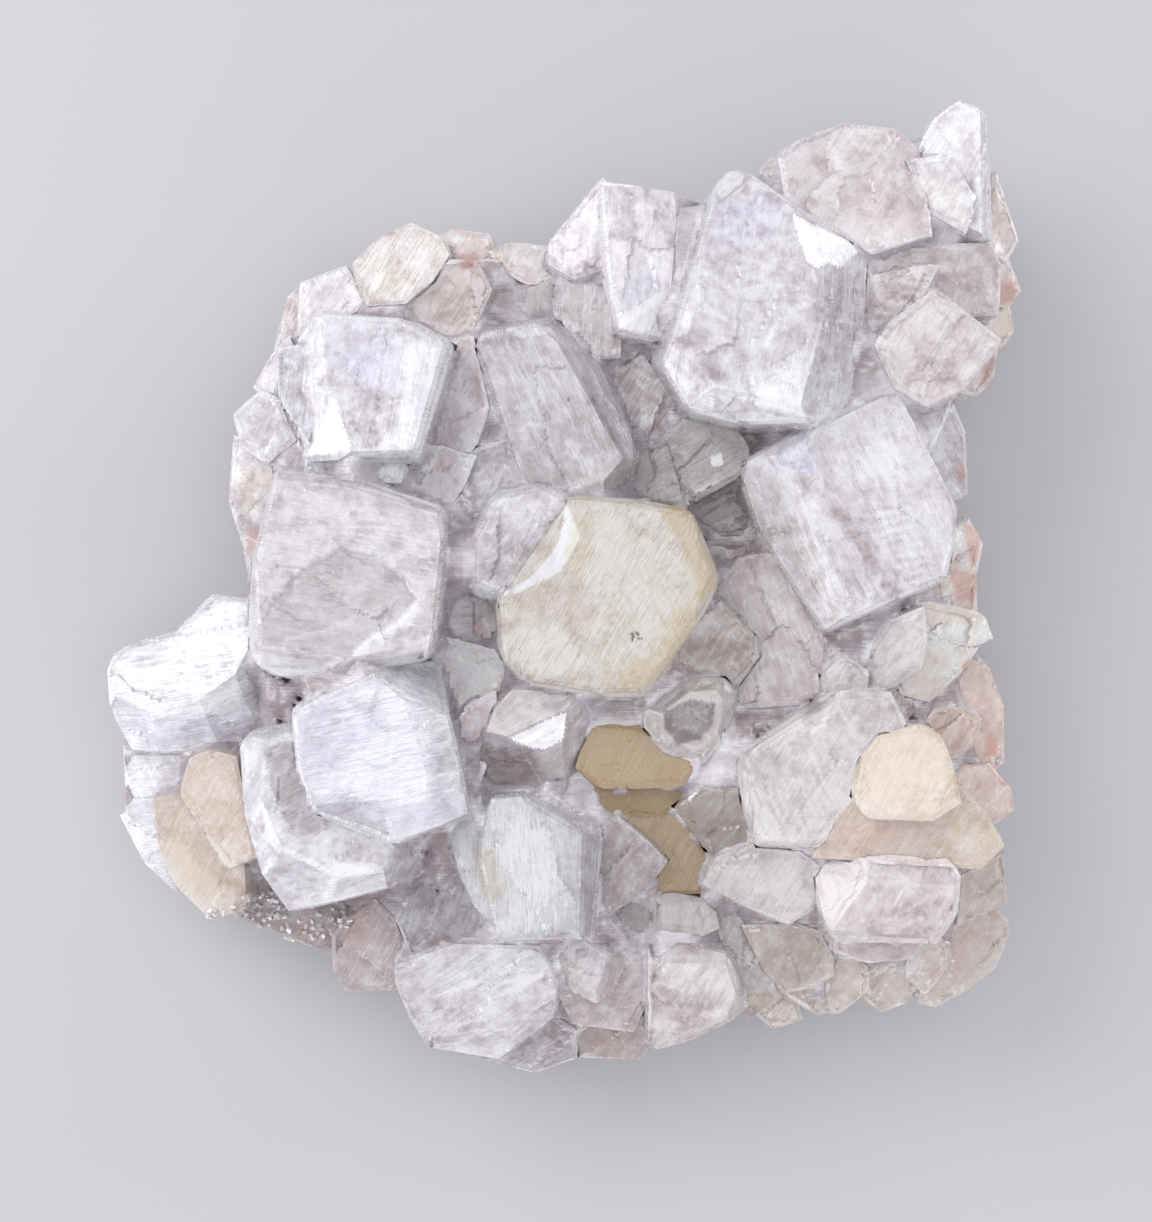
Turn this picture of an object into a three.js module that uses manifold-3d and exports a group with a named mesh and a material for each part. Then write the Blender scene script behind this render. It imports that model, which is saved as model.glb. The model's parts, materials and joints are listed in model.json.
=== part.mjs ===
// A hand specimen of apophyllite: block-shaped crystals and a few stilbite sheaves on a thin matrix.
// It lies on its flat cut back. +X is right and +Y is up as one looks down on it, +Z is up. Millimetres.
import * as THREE from 'three';
import Module from 'manifold-3d';

const wasm = await Module();
wasm.setup();

// Driving dimensions, in mm
const GAP = 0.3; // left open between neighbouring pieces
const PLATE_TOP = 10; // thickness of the matrix
const FOOT = 8; // crystals run down to this height, into the matrix
const RIM_INSET = 3; // the matrix stays this far inside the crystals' outline
const BACK_INSET = 9; // and its cut back this far
const EDGE = 0.6; // width of the slant along an ordinary crystal's upper edges
const SLANT = 50; // and its steepness in degrees: 0 is level, 90 upright
const WALL = 88; // steepness of a crystal's sides
const OVERHANG = 16; // crystals on the rim lean out over the matrix by up to this many degrees
const SLIVER = 0.08; // facets thinner than this are merged away
const PLATE_STEPS = 64; // points round the matrix
const GRAINS = 36; // small crystals on its rim

// Colours: milky, silky, grey, clear, frosted cream, stilbite and matrix
const MILKY = 0xdedbe2;
const SILKY = 0xe6e5ee;
const GREY = 0xbdb6bd;
const CLEAR = 0xc9c2c6;
const CREAM = 0xe6dec8;
const TAN = 0xcdb892;
const BUFF = 0xe2d2bb;
const PINK = 0xd3b4ac;

const radians = (degrees) => (degrees * Math.PI) / 180;

// A steady source of scatter, so that every run gives the same stone
function scatterFrom(seed) {
  let state = seed;
  return () => {
    state = (state * 1664525 + 1013904223) % 4294967296;
    return state / 4294967296;
  };
}

// One crystal: the height of its upper face, the [direction, degrees] that face tips, and the face's
// corners [x, y, slant], slant being the steepness of the facet along the edge that starts there.
// outline: the crystal's own walls seen from above, where its slanting facets are wide.
const crystal = (height, lean, face, more = {}) => ({ height, lean, face, foot: FOOT, ...more });

// A plain crystal with a four-sided face: its middle, [length, width] and the direction of its length
function brick([x, y], height, [long, wide], turn, lean = [0, 0], more = {}) {
  const along = new THREE.Vector2(Math.cos(radians(turn)), Math.sin(radians(turn)));
  const face = [[-1, -1], [1, -1], [1, 1], [-1, 1]].map(([a, b]) => [
    x + (a * long * along.x - b * wide * along.y) / 2,
    y + (a * long * along.y + b * wide * along.x) / 2,
  ]);
  return crystal(height, lean, face, more);
}

// The corners that stand out, in order and anticlockwise
function convex(corners) {
  const sorted = [...corners].sort((a, b) => a[0] - b[0] || a[1] - b[1]);
  const turnsLeft = (a, b, c) => (b[0] - a[0]) * (c[1] - a[1]) - (b[1] - a[1]) * (c[0] - a[0]) > 0;
  const half = (list) => {
    const kept = [];
    for (const corner of list) {
      while (kept.length > 1 && !turnsLeft(...kept.slice(-2), corner)) kept.pop();
      kept.push(corner);
    }
    kept.pop();
    return kept;
  };
  return [...half(sorted), ...half(sorted.reverse())];
}

// The flat through an edge that falls away outwards at a steepness: [normal, reach]
function flatAlong(from, to, steepness) {
  const edge = to.clone().sub(from);
  const out = new THREE.Vector3(edge.y, -edge.x, 0).normalize();
  const down = out.multiplyScalar(Math.cos(radians(steepness)));
  down.z = -Math.sin(radians(steepness));
  const normal = down.cross(edge).normalize();
  return [normal, normal.dot(from)];
}

// The flats that bound a crystal: a point p is inside where normal.p < reach for every one
function flatsOf({ height, lean, face, outline, foot }) {
  const corners = convex(face);
  const middle = new THREE.Vector3(0, 0, height);
  corners.forEach(([x, y]) => middle.add(new THREE.Vector3(x / corners.length, y / corners.length, 0)));
  const [direction, degrees] = lean;
  const tip = new THREE.Vector3(Math.cos(radians(direction)), Math.sin(radians(direction)), 0);
  const upper = tip.clone().multiplyScalar(Math.sin(radians(degrees)));
  upper.z = Math.cos(radians(degrees));
  const raised = corners.map(([x, y]) => {
    const away = new THREE.Vector3(x - middle.x, y - middle.y, 0).dot(tip);
    return new THREE.Vector3(x, y, height - away * Math.tan(radians(degrees)));
  });
  const flats = [
    [upper, upper.dot(middle)],
    [new THREE.Vector3(0, 0, -1), -foot],
  ];
  raised.forEach((point, n) => {
    flats.push(flatAlong(point, raised[(n + 1) % raised.length], corners[n][2] ?? SLANT));
  });
  const fromCentre = middle.clone().setZ(0);
  const overhang = OVERHANG * THREE.MathUtils.clamp((fromCentre.length() - 28) / 30, 0, 1);
  const walls = convex(outline ?? face).map(([x, y]) => new THREE.Vector3(x, y, height));
  walls.forEach((point, n) => {
    const next = walls[(n + 1) % walls.length];
    const facing = flatAlong(point, next, 90)[0].dot(fromCentre.clone().normalize());
    const [normal, reach] = flatAlong(point, next, WALL + overhang * Math.max(facing, 0));
    flats.push([normal, reach + (outline ? 0 : EDGE)]);
  });
  return flats;
}

// A closed geometry as a solid, and back
function solidOf(geometry) {
  const vertProperties = new Float32Array(geometry.attributes.position.array);
  const triVerts = new Uint32Array(geometry.index.array);
  return new wasm.Manifold(new wasm.Mesh({ numProp: 3, vertProperties, triVerts }));
}

function geometryOf(solid) {
  const mesh = solid.getMesh();
  const geometry = new THREE.BufferGeometry();
  geometry.setAttribute('position', new THREE.BufferAttribute(new Float32Array(mesh.vertProperties), 3));
  geometry.setIndex(new THREE.BufferAttribute(new Uint32Array(mesh.triVerts), 1));
  return geometry;
}

// A box round the origin, with its corners shared between its sides
function boxGeometry(x, y, z) {
  const corners = [];
  for (const up of [-z / 2, z / 2]) {
    for (const [right, back] of [[-1, -1], [1, -1], [1, 1], [-1, 1]]) {
      corners.push(new THREE.Vector3((right * x) / 2, (back * y) / 2, up));
    }
  }
  const geometry = new THREE.BufferGeometry().setFromPoints(corners);
  const index = [0, 2, 1, 0, 3, 2, 4, 5, 6, 4, 6, 7];
  for (let n = 0; n < 4; n += 1) {
    const next = (n + 1) % 4;
    index.push(n, next, next + 4, n, next + 4, n + 4);
  }
  geometry.setIndex(index);
  return geometry;
}

// A crystal cut out of a block by its flats, grown outwards by a margin
function crystalSolid(one, margin) {
  return flatsOf(one).reduce(
    (solid, [normal, reach]) => solid.trimByPlane(normal.clone().negate().toArray(), -reach - margin),
    solidOf(boxGeometry(160, 160, 120)),
  );
}

// Crystals grown together, as one solid
function bodyOf(crystals, margin = 0) {
  return crystals.map((one) => crystalSolid(one, margin)).reduce((sum, solid) => sum.add(solid));
}

// Cutting can leave crumbs behind: only the largest body is the piece
function largestBody(solid) {
  const bodies = solid.decompose();
  return bodies.reduce((best, body) => (body.volume() > best.volume() ? body : best));
}

// The pieces, front ones first: where two would overlap, the one further down the list gives way
const pieces = [
  {
    name: 'upper_right_block',
    colour: MILKY,
    crystals: [
      crystal(40, [75, 6], [
        [18.3, 24, 46], [28.5, 21.6, 50], [31.3, 32.2, 50], [31.5, 38.5, 40], [27.4, 45.9, 80],
        [22.8, 49.2, 46], [18.2, 45.6, 80], [13.6, 29.8, 38],
      ], {
        outline: [
          [15.3, 21.6], [21.9, 20], [30.4, 20], [34.9, 22.5], [36.9, 33.5], [37.5, 41.1], [23.4, 50.3],
          [20.7, 50.8], [16.5, 45.9], [11, 28.6],
        ],
      }),
    ],
  },
  {
    name: 'centre_left_small_crystal',
    colour: MILKY,
    crystals: [
      crystal(37, [245, 6], [
        [-8.2, -0.5, 46], [-1.6, 2.9, 46], [0.9, 6.1, 46], [0.1, 10.1, 75], [-2.3, 11.5, 75],
        [-7.8, 10.5, 70], [-10.5, 5.6, 60], [-10.6, 0.6, 60],
      ], {
        outline: [
          [-9.4, -1.4], [-5.3, -0.6], [-0.1, 2], [2.2, 5.9], [0.6, 10.7], [-2.3, 12.1], [-8.2, 11.2],
          [-11.5, 5.6], [-11.6, 0],
        ],
      }),
      crystal(28, [230, 14], [
        [-14.7, 8.1], [-12.6, 10.6], [-9.8, 8.1], [-7.9, 6.9], [-9.8, -0.5], [-11.6, -0.5], [-14.2, 2],
      ]),
      crystal(29.5, [200, 16], [
        [-11.6, 16.2], [-7.3, 17.4], [-5.4, 13.3], [-7.3, 8.8], [-9.8, 8.1], [-12.6, 11.2],
      ]),
    ],
  },
  {
    name: 'cream_centre_crystal',
    colour: CREAM,
    crystals: [
      crystal(37.5, [300, 3], [
        [-7.2, -2, 60], [-6.8, -8.2, 55], [-4.3, -10.9, 60], [4.4, -12.4, 60], [9.2, -12.4, 55],
        [11.6, -9.3, 50], [16, -2.8, 60], [17.4, 0.6, 60], [16, 5, 55], [14.6, 8.3, 65], [9, 9.4, 65],
        [0.6, 10, 65],
      ], {
        outline: [
          [-8, -1.7], [-7.5, -8.5], [-4.6, -11.6], [4.4, -13.2], [9.6, -13.1], [12.4, -9.7],
          [16.9, -3], [18.7, 0.7], [16.9, 5.3], [15.3, 9], [9.2, 10.1], [0.4, 10.6],
        ],
      }),
    ],
  },
  {
    name: 'left_block',
    colour: MILKY,
    crystals: [
      crystal(39, [260, 3], [
        [-36.6, -7.6, 38], [-26.5, -8.8, 45], [-17, -7, 60], [-15.9, -5, 80], [-14.9, 5.2, 80],
        [-15.2, 8.6, 60], [-26.5, 12, 55], [-34.4, 12.8, 75], [-36.8, 2.5, 75],
      ], {
        outline: [
          [-37.4, -9.4], [-34.5, -10.9], [-26.5, -10.6], [-16.6, -8.6], [-15.5, -5], [-14.4, 5.2],
          [-14.7, 9.2], [-26.3, 13.1], [-34.9, 13.7], [-37.6, 2.5], [-38.4, -6.4],
        ],
      }),
    ],
  },
  {
    name: 'striated_left_block',
    colour: SILKY,
    crystals: [
      crystal(38.5, [340, 5], [
        [-29.8, -27.2, 75], [-20.8, -30.6, 60], [-16.8, -29.4, 36], [-16.6, -23, 36],
        [-19.4, -13.8, 60], [-22.8, -11, 75], [-32.2, -15.5, 75], [-31.8, -21.3, 75],
      ], {
        outline: [
          [-29.8, -27.8], [-20.8, -31.4], [-11.9, -27.8], [-13.4, -19.9], [-16, -9.9], [-22.8, -10],
          [-32.9, -15], [-32.2, -21.7],
        ],
      }),
    ],
  },
  {
    name: 'upper_left_block',
    colour: MILKY,
    crystals: [
      crystal(38, [90, 5], [
        [-25.7, 16.2, 60], [-18.2, 16.4, 75], [-14.6, 29.4, 75], [-19.3, 31.8, 75], [-29.4, 32.4, 40],
        [-28.6, 23.5, 42],
      ], {
        outline: [
          [-31, 15.3], [-18, 15.3], [-13.8, 29.6], [-19.2, 32.4], [-29.8, 33.1], [-32.5, 30],
          [-32.5, 18],
        ],
      }),
      crystal(35.5, [190, 16], [
        [-31.2, 18.8, 45], [-28.3, 22.9], [-29.1, 29.4], [-34.3, 28.5, 70], [-34.4, 23.9, 45],
      ]),
      crystal(34, [250, 12], [[-31.2, 13.9], [-25, 13.3], [-20.4, 13.2], [-19.6, 16], [-31, 15.8]]),
    ],
  },
  {
    name: 'right_block',
    colour: MILKY,
    crystals: [
      crystal(34.5, [26, 7], [
        [33.9, -4, 75], [46, 1.2, 60], [47.2, 5, 60], [47.5, 9.5, 60], [40.2, 23.6, 75],
        [30.6, 19.1, 30], [28.3, 13.5, 38],
      ], {
        outline: [
          [32.2, -5.5], [46.8, 0.8], [47.9, 5], [48.3, 9.5], [40.6, 24.8], [30.2, 19.6], [22.7, 15.2],
          [22.3, 12.9], [24.5, 6.6],
        ],
      }),
      crystal(30, [60, 18], [
        [42.4, 23.7], [44.8, 25.4], [47.7, 23.4], [46.1, 19.4], [43.6, 15], [41, 19],
      ]),
      crystal(26, [20, 20], [
        [45.1, 18], [48.5, 22.4], [49.8, 19.3], [50, 12], [47.6, 11], [45.8, 12.4],
      ]),
    ],
  },
  {
    name: 'upper_middle_block',
    colour: MILKY,
    crystals: [
      crystal(36, [20, 5], [
        [6.4, 32.5, 40], [13.1, 36.7, 50], [13.7, 44.5, 50], [13.4, 48, 80], [5, 48.6, 75],
      ], {
        outline: [
          [6.7, 31.2], [12.2, 30.2], [14.1, 31.8], [15.3, 36.5], [16.9, 47.5], [4.7, 49.2], [4.6, 40],
        ],
      }),
      crystal(32, [170, 18], [
        [-1.2, 42.2], [4.8, 49.2], [6.7, 45.8], [5.9, 39.6], [1.4, 38.4], [-1.2, 40],
      ]),
    ],
  },
  {
    name: 'right_stilbite_sheaf',
    colour: BUFF,
    crystals: [
      crystal(37, [85, 10], [
        [37.3, -27.6], [44.6, -27.9], [47.6, -26.1], [46.8, -21.8], [45.6, -18.8], [42.8, -17.6],
        [38.7, -18.9], [36.7, -21.7], [35.9, -25.5],
      ]),
      crystal(34.6, [270, 8], [
        [31.4, -32.8], [37.3, -32], [44.6, -32.2], [51, -34.2], [53.3, -31.8], [51, -27.9],
        [47.8, -25], [36.7, -25.2], [33.4, -28.6],
      ]),
    ],
  },
  {
    name: 'rounded_lower_right_crystal',
    colour: MILKY,
    crystals: [
      crystal(35, [285, 4], [
        [32.9, -42, 45], [44.6, -42.7, 45], [47.3, -40, 55], [47.7, -36.5, 16], [36.9, -36.3, 32],
      ], {
        outline: [
          [30.7, -34], [31.8, -40.5], [33.6, -43.8], [45.9, -44], [48.3, -40.2], [48.6, -35.6],
          [45.6, -32.5], [37.3, -32.3], [31.2, -33.2],
        ],
      }),
      crystal(29, [280, 18], [[34, -45], [38, -46.4], [43, -46], [45, -43], [40, -41], [34, -41]]),
    ],
  },
  {
    name: 'lower_right_block',
    colour: MILKY,
    crystals: [
      crystal(34.8, [200, 6], [
        [24.8, -31.2, 60], [40, -32, 60], [41.4, -17.3, 70], [39.6, -13.8, 60], [33.4, -13.8, 60],
        [22.6, -21, 55], [23.4, -26, 45],
      ], {
        outline: [
          [23.9, -32], [40.4, -33], [42, -17.2], [40, -13.2], [33.2, -13.1], [21.5, -20.9],
          [22, -26.2],
        ],
      }),
      crystal(31, [210, 14], [[32.8, -13.4], [36.5, -13], [36.8, -10.6], [34.6, -9.2], [32.5, -11.2]]),
      crystal(31.5, [200, 16], [
        [36.8, -10.6], [37, -13.4], [40.6, -11.8], [43.4, -9.7], [44, -6.8], [43.7, -3.3],
        [40.7, -4.6],
      ]),
    ],
  },
  {
    name: 'centre_bottom_block',
    colour: SILKY,
    crystals: [
      crystal(35.2, [268, 5], [
        [-7.7, -42.6], [1.9, -42.6, 60], [2.2, -30.4, 75], [-2.2, -28.9, 60], [-4.8, -26.3, 60],
        [-8.6, -26.6, 60], [-9.6, -33.6, 75],
      ], {
        outline: [
          [-8, -43.4], [3.2, -43.2], [4.5, -29.6], [-2, -28.3], [-4.6, -25.6], [-8.8, -26],
          [-10.3, -33.6],
        ],
      }),
      crystal(31.5, [200, 18], [
        [-14, -28.6], [-10.6, -26.6], [-8.6, -34], [-8, -41.6], [-10.4, -39.4], [-12.6, -34.4],
      ]),
    ],
  },
  {
    name: 'lower_centre_block',
    colour: GREY,
    crystals: [
      crystal(33, [260, 12], [
        [-7, -18.4, 42], [-5.4, -19.7, 26], [-0.3, -19.2, 46], [0.5, -15, 22],
      ], {
        outline: [
          [-8.5, -15.2], [-6.4, -12.8], [2.2, -13], [4.7, -28.9], [2, -30.4], [-3, -28.6],
          [-8.5, -25.2], [-10.4, -22], [-9.5, -18],
        ],
      }),
    ],
  },
  {
    name: 'centre_left_block',
    colour: GREY,
    crystals: [
      crystal(32, [214, 7], [
        [-5.2, 13.6, 60], [-0.5, 11.8, 45], [4.8, 12.8, 50], [7.2, 15.6, 42], [-0.8, 29.8, 60],
        [-3, 31.8, 75], [-9.6, 30.7, 70], [-10.2, 29.1, 75],
      ], {
        outline: [
          [-5.7, 12.8], [-1.5, 10.8], [5.6, 11.7], [8.6, 14.3], [8.4, 18], [4.4, 27.3], [1.6, 32],
          [-2.3, 32.9], [-9.9, 31.3], [-11, 29.4],
        ],
      }),
    ],
  },
  {
    name: 'pointed_grey_crystal',
    colour: GREY,
    crystals: [
      crystal(29.5, [190, 22], [
        [-16.4, 17.2, 60], [-11.6, 16.6, 60], [-9.8, 22, 40], [-11.6, 30.2], [-14.1, 29.8],
      ]),
      crystal(27.6, [20, 24], [[-11.2, 17], [-7.3, 17], [-8.9, 23], [-10.6, 30], [-12, 30]]),
    ],
  },
  {
    name: 'dark_left_crystals',
    colour: GREY,
    crystals: [
      crystal(26.5, [200, 14], [
        [-15.7, -4.8], [-14.7, -2.3], [-10.4, -1.1], [-8.2, -2.3], [-8.2, -6.7], [-9.1, -8.5],
        [-12.8, -7.9],
      ]),
      crystal(28, [204, 14], [
        [-16.3, -6.7], [-13.5, -7.9], [-9.1, -8.5], [-7.3, -9.8], [-9.1, -14.1], [-11.6, -16.5],
        [-15.3, -9.8],
      ]),
      crystal(29, [196, 14], [
        [-11.6, -15.6], [-8.9, -13.9], [-8.6, -18.4], [-10, -22.1], [-12.2, -26.4], [-14, -21.5],
      ]),
    ],
  },
  {
    name: 'dark_upper_left_crystal',
    colour: GREY,
    crystals: [
      crystal(28.8, [215, 12], [
        [-18.4, 16.8], [-15.3, 16.8], [-11, 16], [-12.2, 13.1], [-14.1, 10], [-16.5, 9.6],
        [-20.2, 11.2],
      ]),
      brick([-15.6, 11.6], 20, [9, 9], 20, [200, 10]),
    ],
  },
  {
    name: 'lower_left_block',
    colour: MILKY,
    crystals: [
      crystal(34.5, [50, 5], [
        [-34.3, -32.2, 38], [-27.5, -35.6, 42], [-22, -34.6, 60], [-19.6, -30, 75], [-20, -20, 75],
        [-32.4, -18.1, 70], [-36.6, -19.5, 50], [-36.8, -26.3, 42],
      ], {
        outline: [
          [-34.3, -40.3], [-25.2, -38], [-18, -36], [-17, -20], [-32.6, -17.3], [-38, -18], [-40, -20],
          [-39.3, -27.7], [-37.3, -35.4],
        ],
      }),
    ],
  },
  {
    name: 'left_stilbite_sheaf',
    colour: BUFF,
    crystals: [
      crystal(28, [140, 10], [
        [-47.2, -25.5], [-46.3, -22], [-44, -21], [-41.2, -21.7], [-39.8, -28], [-38.7, -33.2],
        [-41.1, -34.2],
      ], { foot: 6 }),
      crystal(25, [205, 14], [
        [-51, -27.2], [-45, -26], [-40.4, -33], [-40.3, -39.8], [-44.3, -41.1], [-48.3, -37.4],
        [-50.4, -33.2],
      ], { foot: 6 }),
    ],
  },
  {
    name: 'far_left_crystal',
    colour: SILKY,
    crystals: [
      crystal(25.6, [100, 18], [
        [-55.9, -13.6, 40], [-51.4, -15.4, 34], [-45.5, -14.1, 36], [-41, -11, 50], [-39.5, -8, 75],
        [-39.4, -4.9, 75], [-54.7, -7.9, 60], [-56.6, -10.2, 60],
      ], {
        outline: [
          [-55, -20.5], [-43.6, -20.9], [-33.2, -19.2], [-32.9, -14], [-38, -3.8], [-54.6, -7.5],
          [-56.7, -8.7], [-57.3, -10.6], [-56.5, -16.7],
        ],
        foot: 9,
      }),
      crystal(23.6, [110, 18], [[-48.2, -6], [-44.2, -1.7], [-40, -2.2], [-39.6, -7.4], [-45.8, -8.1]]),
      crystal(19.5, [215, 18], [
        [-55.3, -19.5], [-49, -19.4], [-48.4, -27.1], [-52.4, -31], [-55.4, -29],
      ], { foot: 5 }),
      crystal(17.5, [215, 20], [
        [-56, -29.5], [-52, -27.5], [-49.2, -33], [-49.8, -38], [-53.2, -35],
      ], { foot: 5 }),
    ],
  },
  {
    name: 'small_clear_crystal',
    colour: CLEAR,
    crystals: [
      crystal(30.4, [250, 12], [
        [14.6, -27.4], [17.4, -25.3], [22.8, -25.5], [23.8, -27.2], [23.4, -31.8], [21.1, -34.3],
        [18.3, -32.4],
      ]),
      crystal(28, [60, 12], [[18.3, -22.7], [21.1, -19.8], [22.2, -25.2], [17, -25.6]]),
    ],
  },
  {
    name: 'ringed_crystal',
    colour: CLEAR,
    crystals: [
      crystal(31.8, [250, 4], [
        [12.3, -18.6, 32], [16.8, -19.9, 32], [18.9, -18, 45], [19.6, -14.3, 50], [18.8, -12.8, 40],
        [15.4, -13, 36], [12.1, -15.7, 36],
      ], {
        outline: [
          [9.8, -15.6], [14.3, -12], [16.8, -11.2], [19.9, -11.5], [21.2, -13.1], [20.3, -18.4],
          [17.4, -21.6], [12.8, -20.6], [10, -17.5],
        ],
      }),
    ],
  },
  {
    name: 'lower_right_light_crystal',
    colour: MILKY,
    crystals: [
      crystal(31.6, [240, 10], [
        [17.9, -36.5], [22.2, -38.8, 40], [27.7, -41.2, 40], [30.2, -39.6], [31, -36.7], [30.8, -34.6],
        [27.7, -32.4], [23.8, -32.2], [19.1, -33.9],
      ]),
    ],
  },
  {
    name: 'veined_clear_crystal',
    colour: CLEAR,
    crystals: [
      crystal(30, [300, 10], [
        [13, -7.9], [15.6, -5.4], [19.3, -2.6], [23.2, -6.7], [23.5, -8.5], [21.3, -11.6],
        [16.8, -10.8],
      ]),
    ],
  },
  {
    name: 'upper_centre_stilbite_sheaf',
    colour: TAN,
    crystals: [
      crystal(30.6, [80, 8], [
        [1.9, -22.1], [4.4, -24.1], [14.3, -24], [15.7, -22.2], [13.1, -20.4], [9.4, -18],
        [4.1, -17.6], [2.1, -19.3],
      ]),
      crystal(29, [280, 10], [[4.4, -24.3], [14.4, -24], [14.7, -26.4], [11.2, -27.9], [4.9, -28.3]]),
    ],
  },
  {
    name: 'dark_striated_crystal',
    colour: GREY,
    crystals: [
      crystal(30.2, [226, 14], [
        [4.6, -30.6], [6.5, -28.9], [10.4, -32.2], [12, -34], [9.6, -37.4], [5.8, -40], [3.5, -38.8],
      ]),
    ],
  },
  {
    name: 'lower_centre_stilbite_sheaf',
    colour: TAN,
    crystals: [
      crystal(28.4, [20, 8], [
        [6.3, -28.3], [15, -24.9], [16.2, -28.9], [18.2, -33.2], [16.6, -37.6], [12.5, -37.6],
        [8.1, -30.3],
      ]),
    ],
  },
  {
    name: 'right_centre_prisms',
    colour: GREY,
    crystals: [
      crystal(28.8, [205, 9], [
        [21.9, -14.6], [29.1, -14.1], [32, -12.8], [32, -7.9], [29, -1.8], [26.2, 3.8], [22, 3],
        [19.6, -0.6],
      ]),
      crystal(25.5, [90, 10], [[17, 5.1], [22, 5.1], [23, 3.3], [21.4, 0.7], [19.6, 0.5], [17.6, 2.4]]),
      crystal(22, [120, 20], [[32.4, -7], [39, -3.8], [40, -6.8], [37.6, -9.4], [33, -9.4]]),
    ],
  },
  {
    name: 'fibrous_crystal',
    colour: GREY,
    crystals: [
      crystal(29.6, [195, 12], [
        [1.4, 28.6], [6.4, 28.8], [6.6, 32.6], [5.6, 40], [0, 39.6], [-0.4, 33.6],
      ]),
      crystal(25, [240, 14], [[-5.4, 33.6], [-1.4, 32.6], [0.6, 36], [-1, 38.4], [-4.4, 37.2]]),
    ],
  },
  {
    name: 'striped_dark_crystal',
    colour: GREY,
    crystals: [
      crystal(26, [258, 12], [
        [9.1, 17.4], [13.2, 18.1], [15, 20.6], [14.4, 23.1], [12.2, 26.6], [10.1, 29], [7.6, 28.7],
        [5.5, 26.4], [6, 23.3],
      ]),
      brick([8.8, 31.4], 24.5, [6, 4], 10, [240, 10]),
    ],
  },
  {
    name: 'crevice_crystals',
    colour: GREY,
    crystals: [
      crystal(27.6, [200, 10], [
        [14.4, 12.9], [16.5, 11.3], [21, 13.8], [22.4, 15.7], [21.7, 18.1], [19.6, 21.3], [16.3, 21.7],
        [13.2, 18.1],
      ]),
      crystal(26.4, [190, 6], [
        [8.2, 13], [10.7, 11], [14.8, 10.7], [13.8, 14.4], [12.9, 17.4], [8.4, 16.5],
      ]),
      crystal(26, [300, 16], [[3.9, 10.2], [9, 10.2], [8.6, 15.2], [4.5, 12.9]]),
      crystal(23.8, [100, 6], [
        [15.2, 11.2], [17.1, 8.9], [19.9, 7], [22.3, 7], [23.6, 8.3], [23.6, 14.8], [21.5, 14.8],
        [15.5, 13],
      ]),
      crystal(26.4, [110, 14], [[22.6, 15.6], [24.6, 16.4], [31, 20.6], [22.2, 20.6]]),
    ],
  },
  {
    name: 'bottom_left_block',
    colour: MILKY,
    crystals: [
      crystal(30, [262, 7], [
        [-16.4, -55.6, 40], [-7.5, -54.6, 40], [-1.8, -50.5, 50], [-1.7, -48.5, 60], [-3.2, -44.8],
        [-13.5, -44.8], [-20.2, -47.2, 60], [-20.4, -48.5, 60], [-18.9, -52.4, 45],
      ], {
        outline: [
          [-20.9, -48.9], [-19.2, -53.4], [-16.8, -57.6], [-8.5, -59.6], [-1.4, -54], [-0.8, -48.5],
          [-3, -44.3], [-13.5, -44.2], [-20.8, -46.8],
        ],
        foot: 5,
      }),
      crystal(21, [272, 18], [
        [-15, -57.6], [-3, -53.4], [1, -56.2], [1, -59.4], [-3.7, -61.2], [-8.1, -60],
      ], { foot: 5 }),
    ],
  },
  {
    name: 'bottom_middle_crystals',
    colour: MILKY,
    crystals: [
      crystal(29.4, [60, 8], [
        [1.3, -49, 60], [3.9, -50.3, 38], [5.4, -45.9, 60], [2, -43.5], [-0.3, -45.2, 60],
      ], {
        outline: [
          [-1, -45.5], [2, -43], [8.4, -46], [6.5, -49.5], [4, -51.3], [0.8, -50],
        ],
      }),
      crystal(26.4, [272, 12], [
        [1.6, -54.3], [8.3, -55.3], [9.8, -52], [9.4, -47], [4.5, -46], [-0.6, -50],
      ]),
      crystal(20, [272, 14], [
        [1.7, -59.3], [9.6, -59.6], [10.8, -57], [9.8, -53], [1.8, -53],
      ], { foot: 5 }),
      crystal(29.4, [265, 7], [
        [11, -54.6, 38], [14.8, -55.1, 38], [20.3, -52.8, 50], [21.3, -50.5, 60], [20, -46.6, 26],
        [11, -46.6, 65],
      ], {
        outline: [
          [10.5, -57], [11.8, -58.2], [15.6, -56.8], [22.7, -53.2], [22.4, -49.5], [20.5, -45.6],
          [14.5, -44.2], [10.4, -43.8],
        ],
      }),
      crystal(25.6, [30, 14], [
        [19.7, -41.5], [21.5, -41.4], [25.6, -47.2], [26.4, -51.2], [23.2, -53.2], [21.5, -50],
        [20.2, -45],
      ]),
    ],
  },
  {
    name: 'bright_striated_crystal',
    colour: SILKY,
    crystals: [
      crystal(29.6, [90, 6], [
        [11.7, -39.1], [13, -38.5], [16.7, -39.1], [18.3, -40.7], [18.6, -42], [17.2, -42.6],
        [11.7, -41.8],
      ]),
      crystal(27.4, [250, 16], [
        [7.1, -40.6], [8.3, -39], [10.9, -39.6], [10.4, -42.9], [9.4, -43.4], [7.7, -41.9],
      ]),
      brick([14.6, -43], 25, [9, 4], -6, [255, 14]),
    ],
  },
  {
    name: 'purple_grey_crystal',
    colour: GREY,
    crystals: [
      crystal(27.6, [225, 12], [
        [-16.4, -42.5], [-14.7, -38.4], [-11.9, -35.5], [-10.4, -39], [-9, -40.9], [-9.4, -43.8],
        [-11.7, -44.4],
      ]),
      crystal(25, [200, 12], [
        [-20.2, -42.4], [-17.4, -37.4], [-15.7, -39.3], [-16.8, -43], [-19.1, -45.2],
      ]),
    ],
  },
  {
    name: 'lower_left_edge_crystal',
    colour: GREY,
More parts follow.
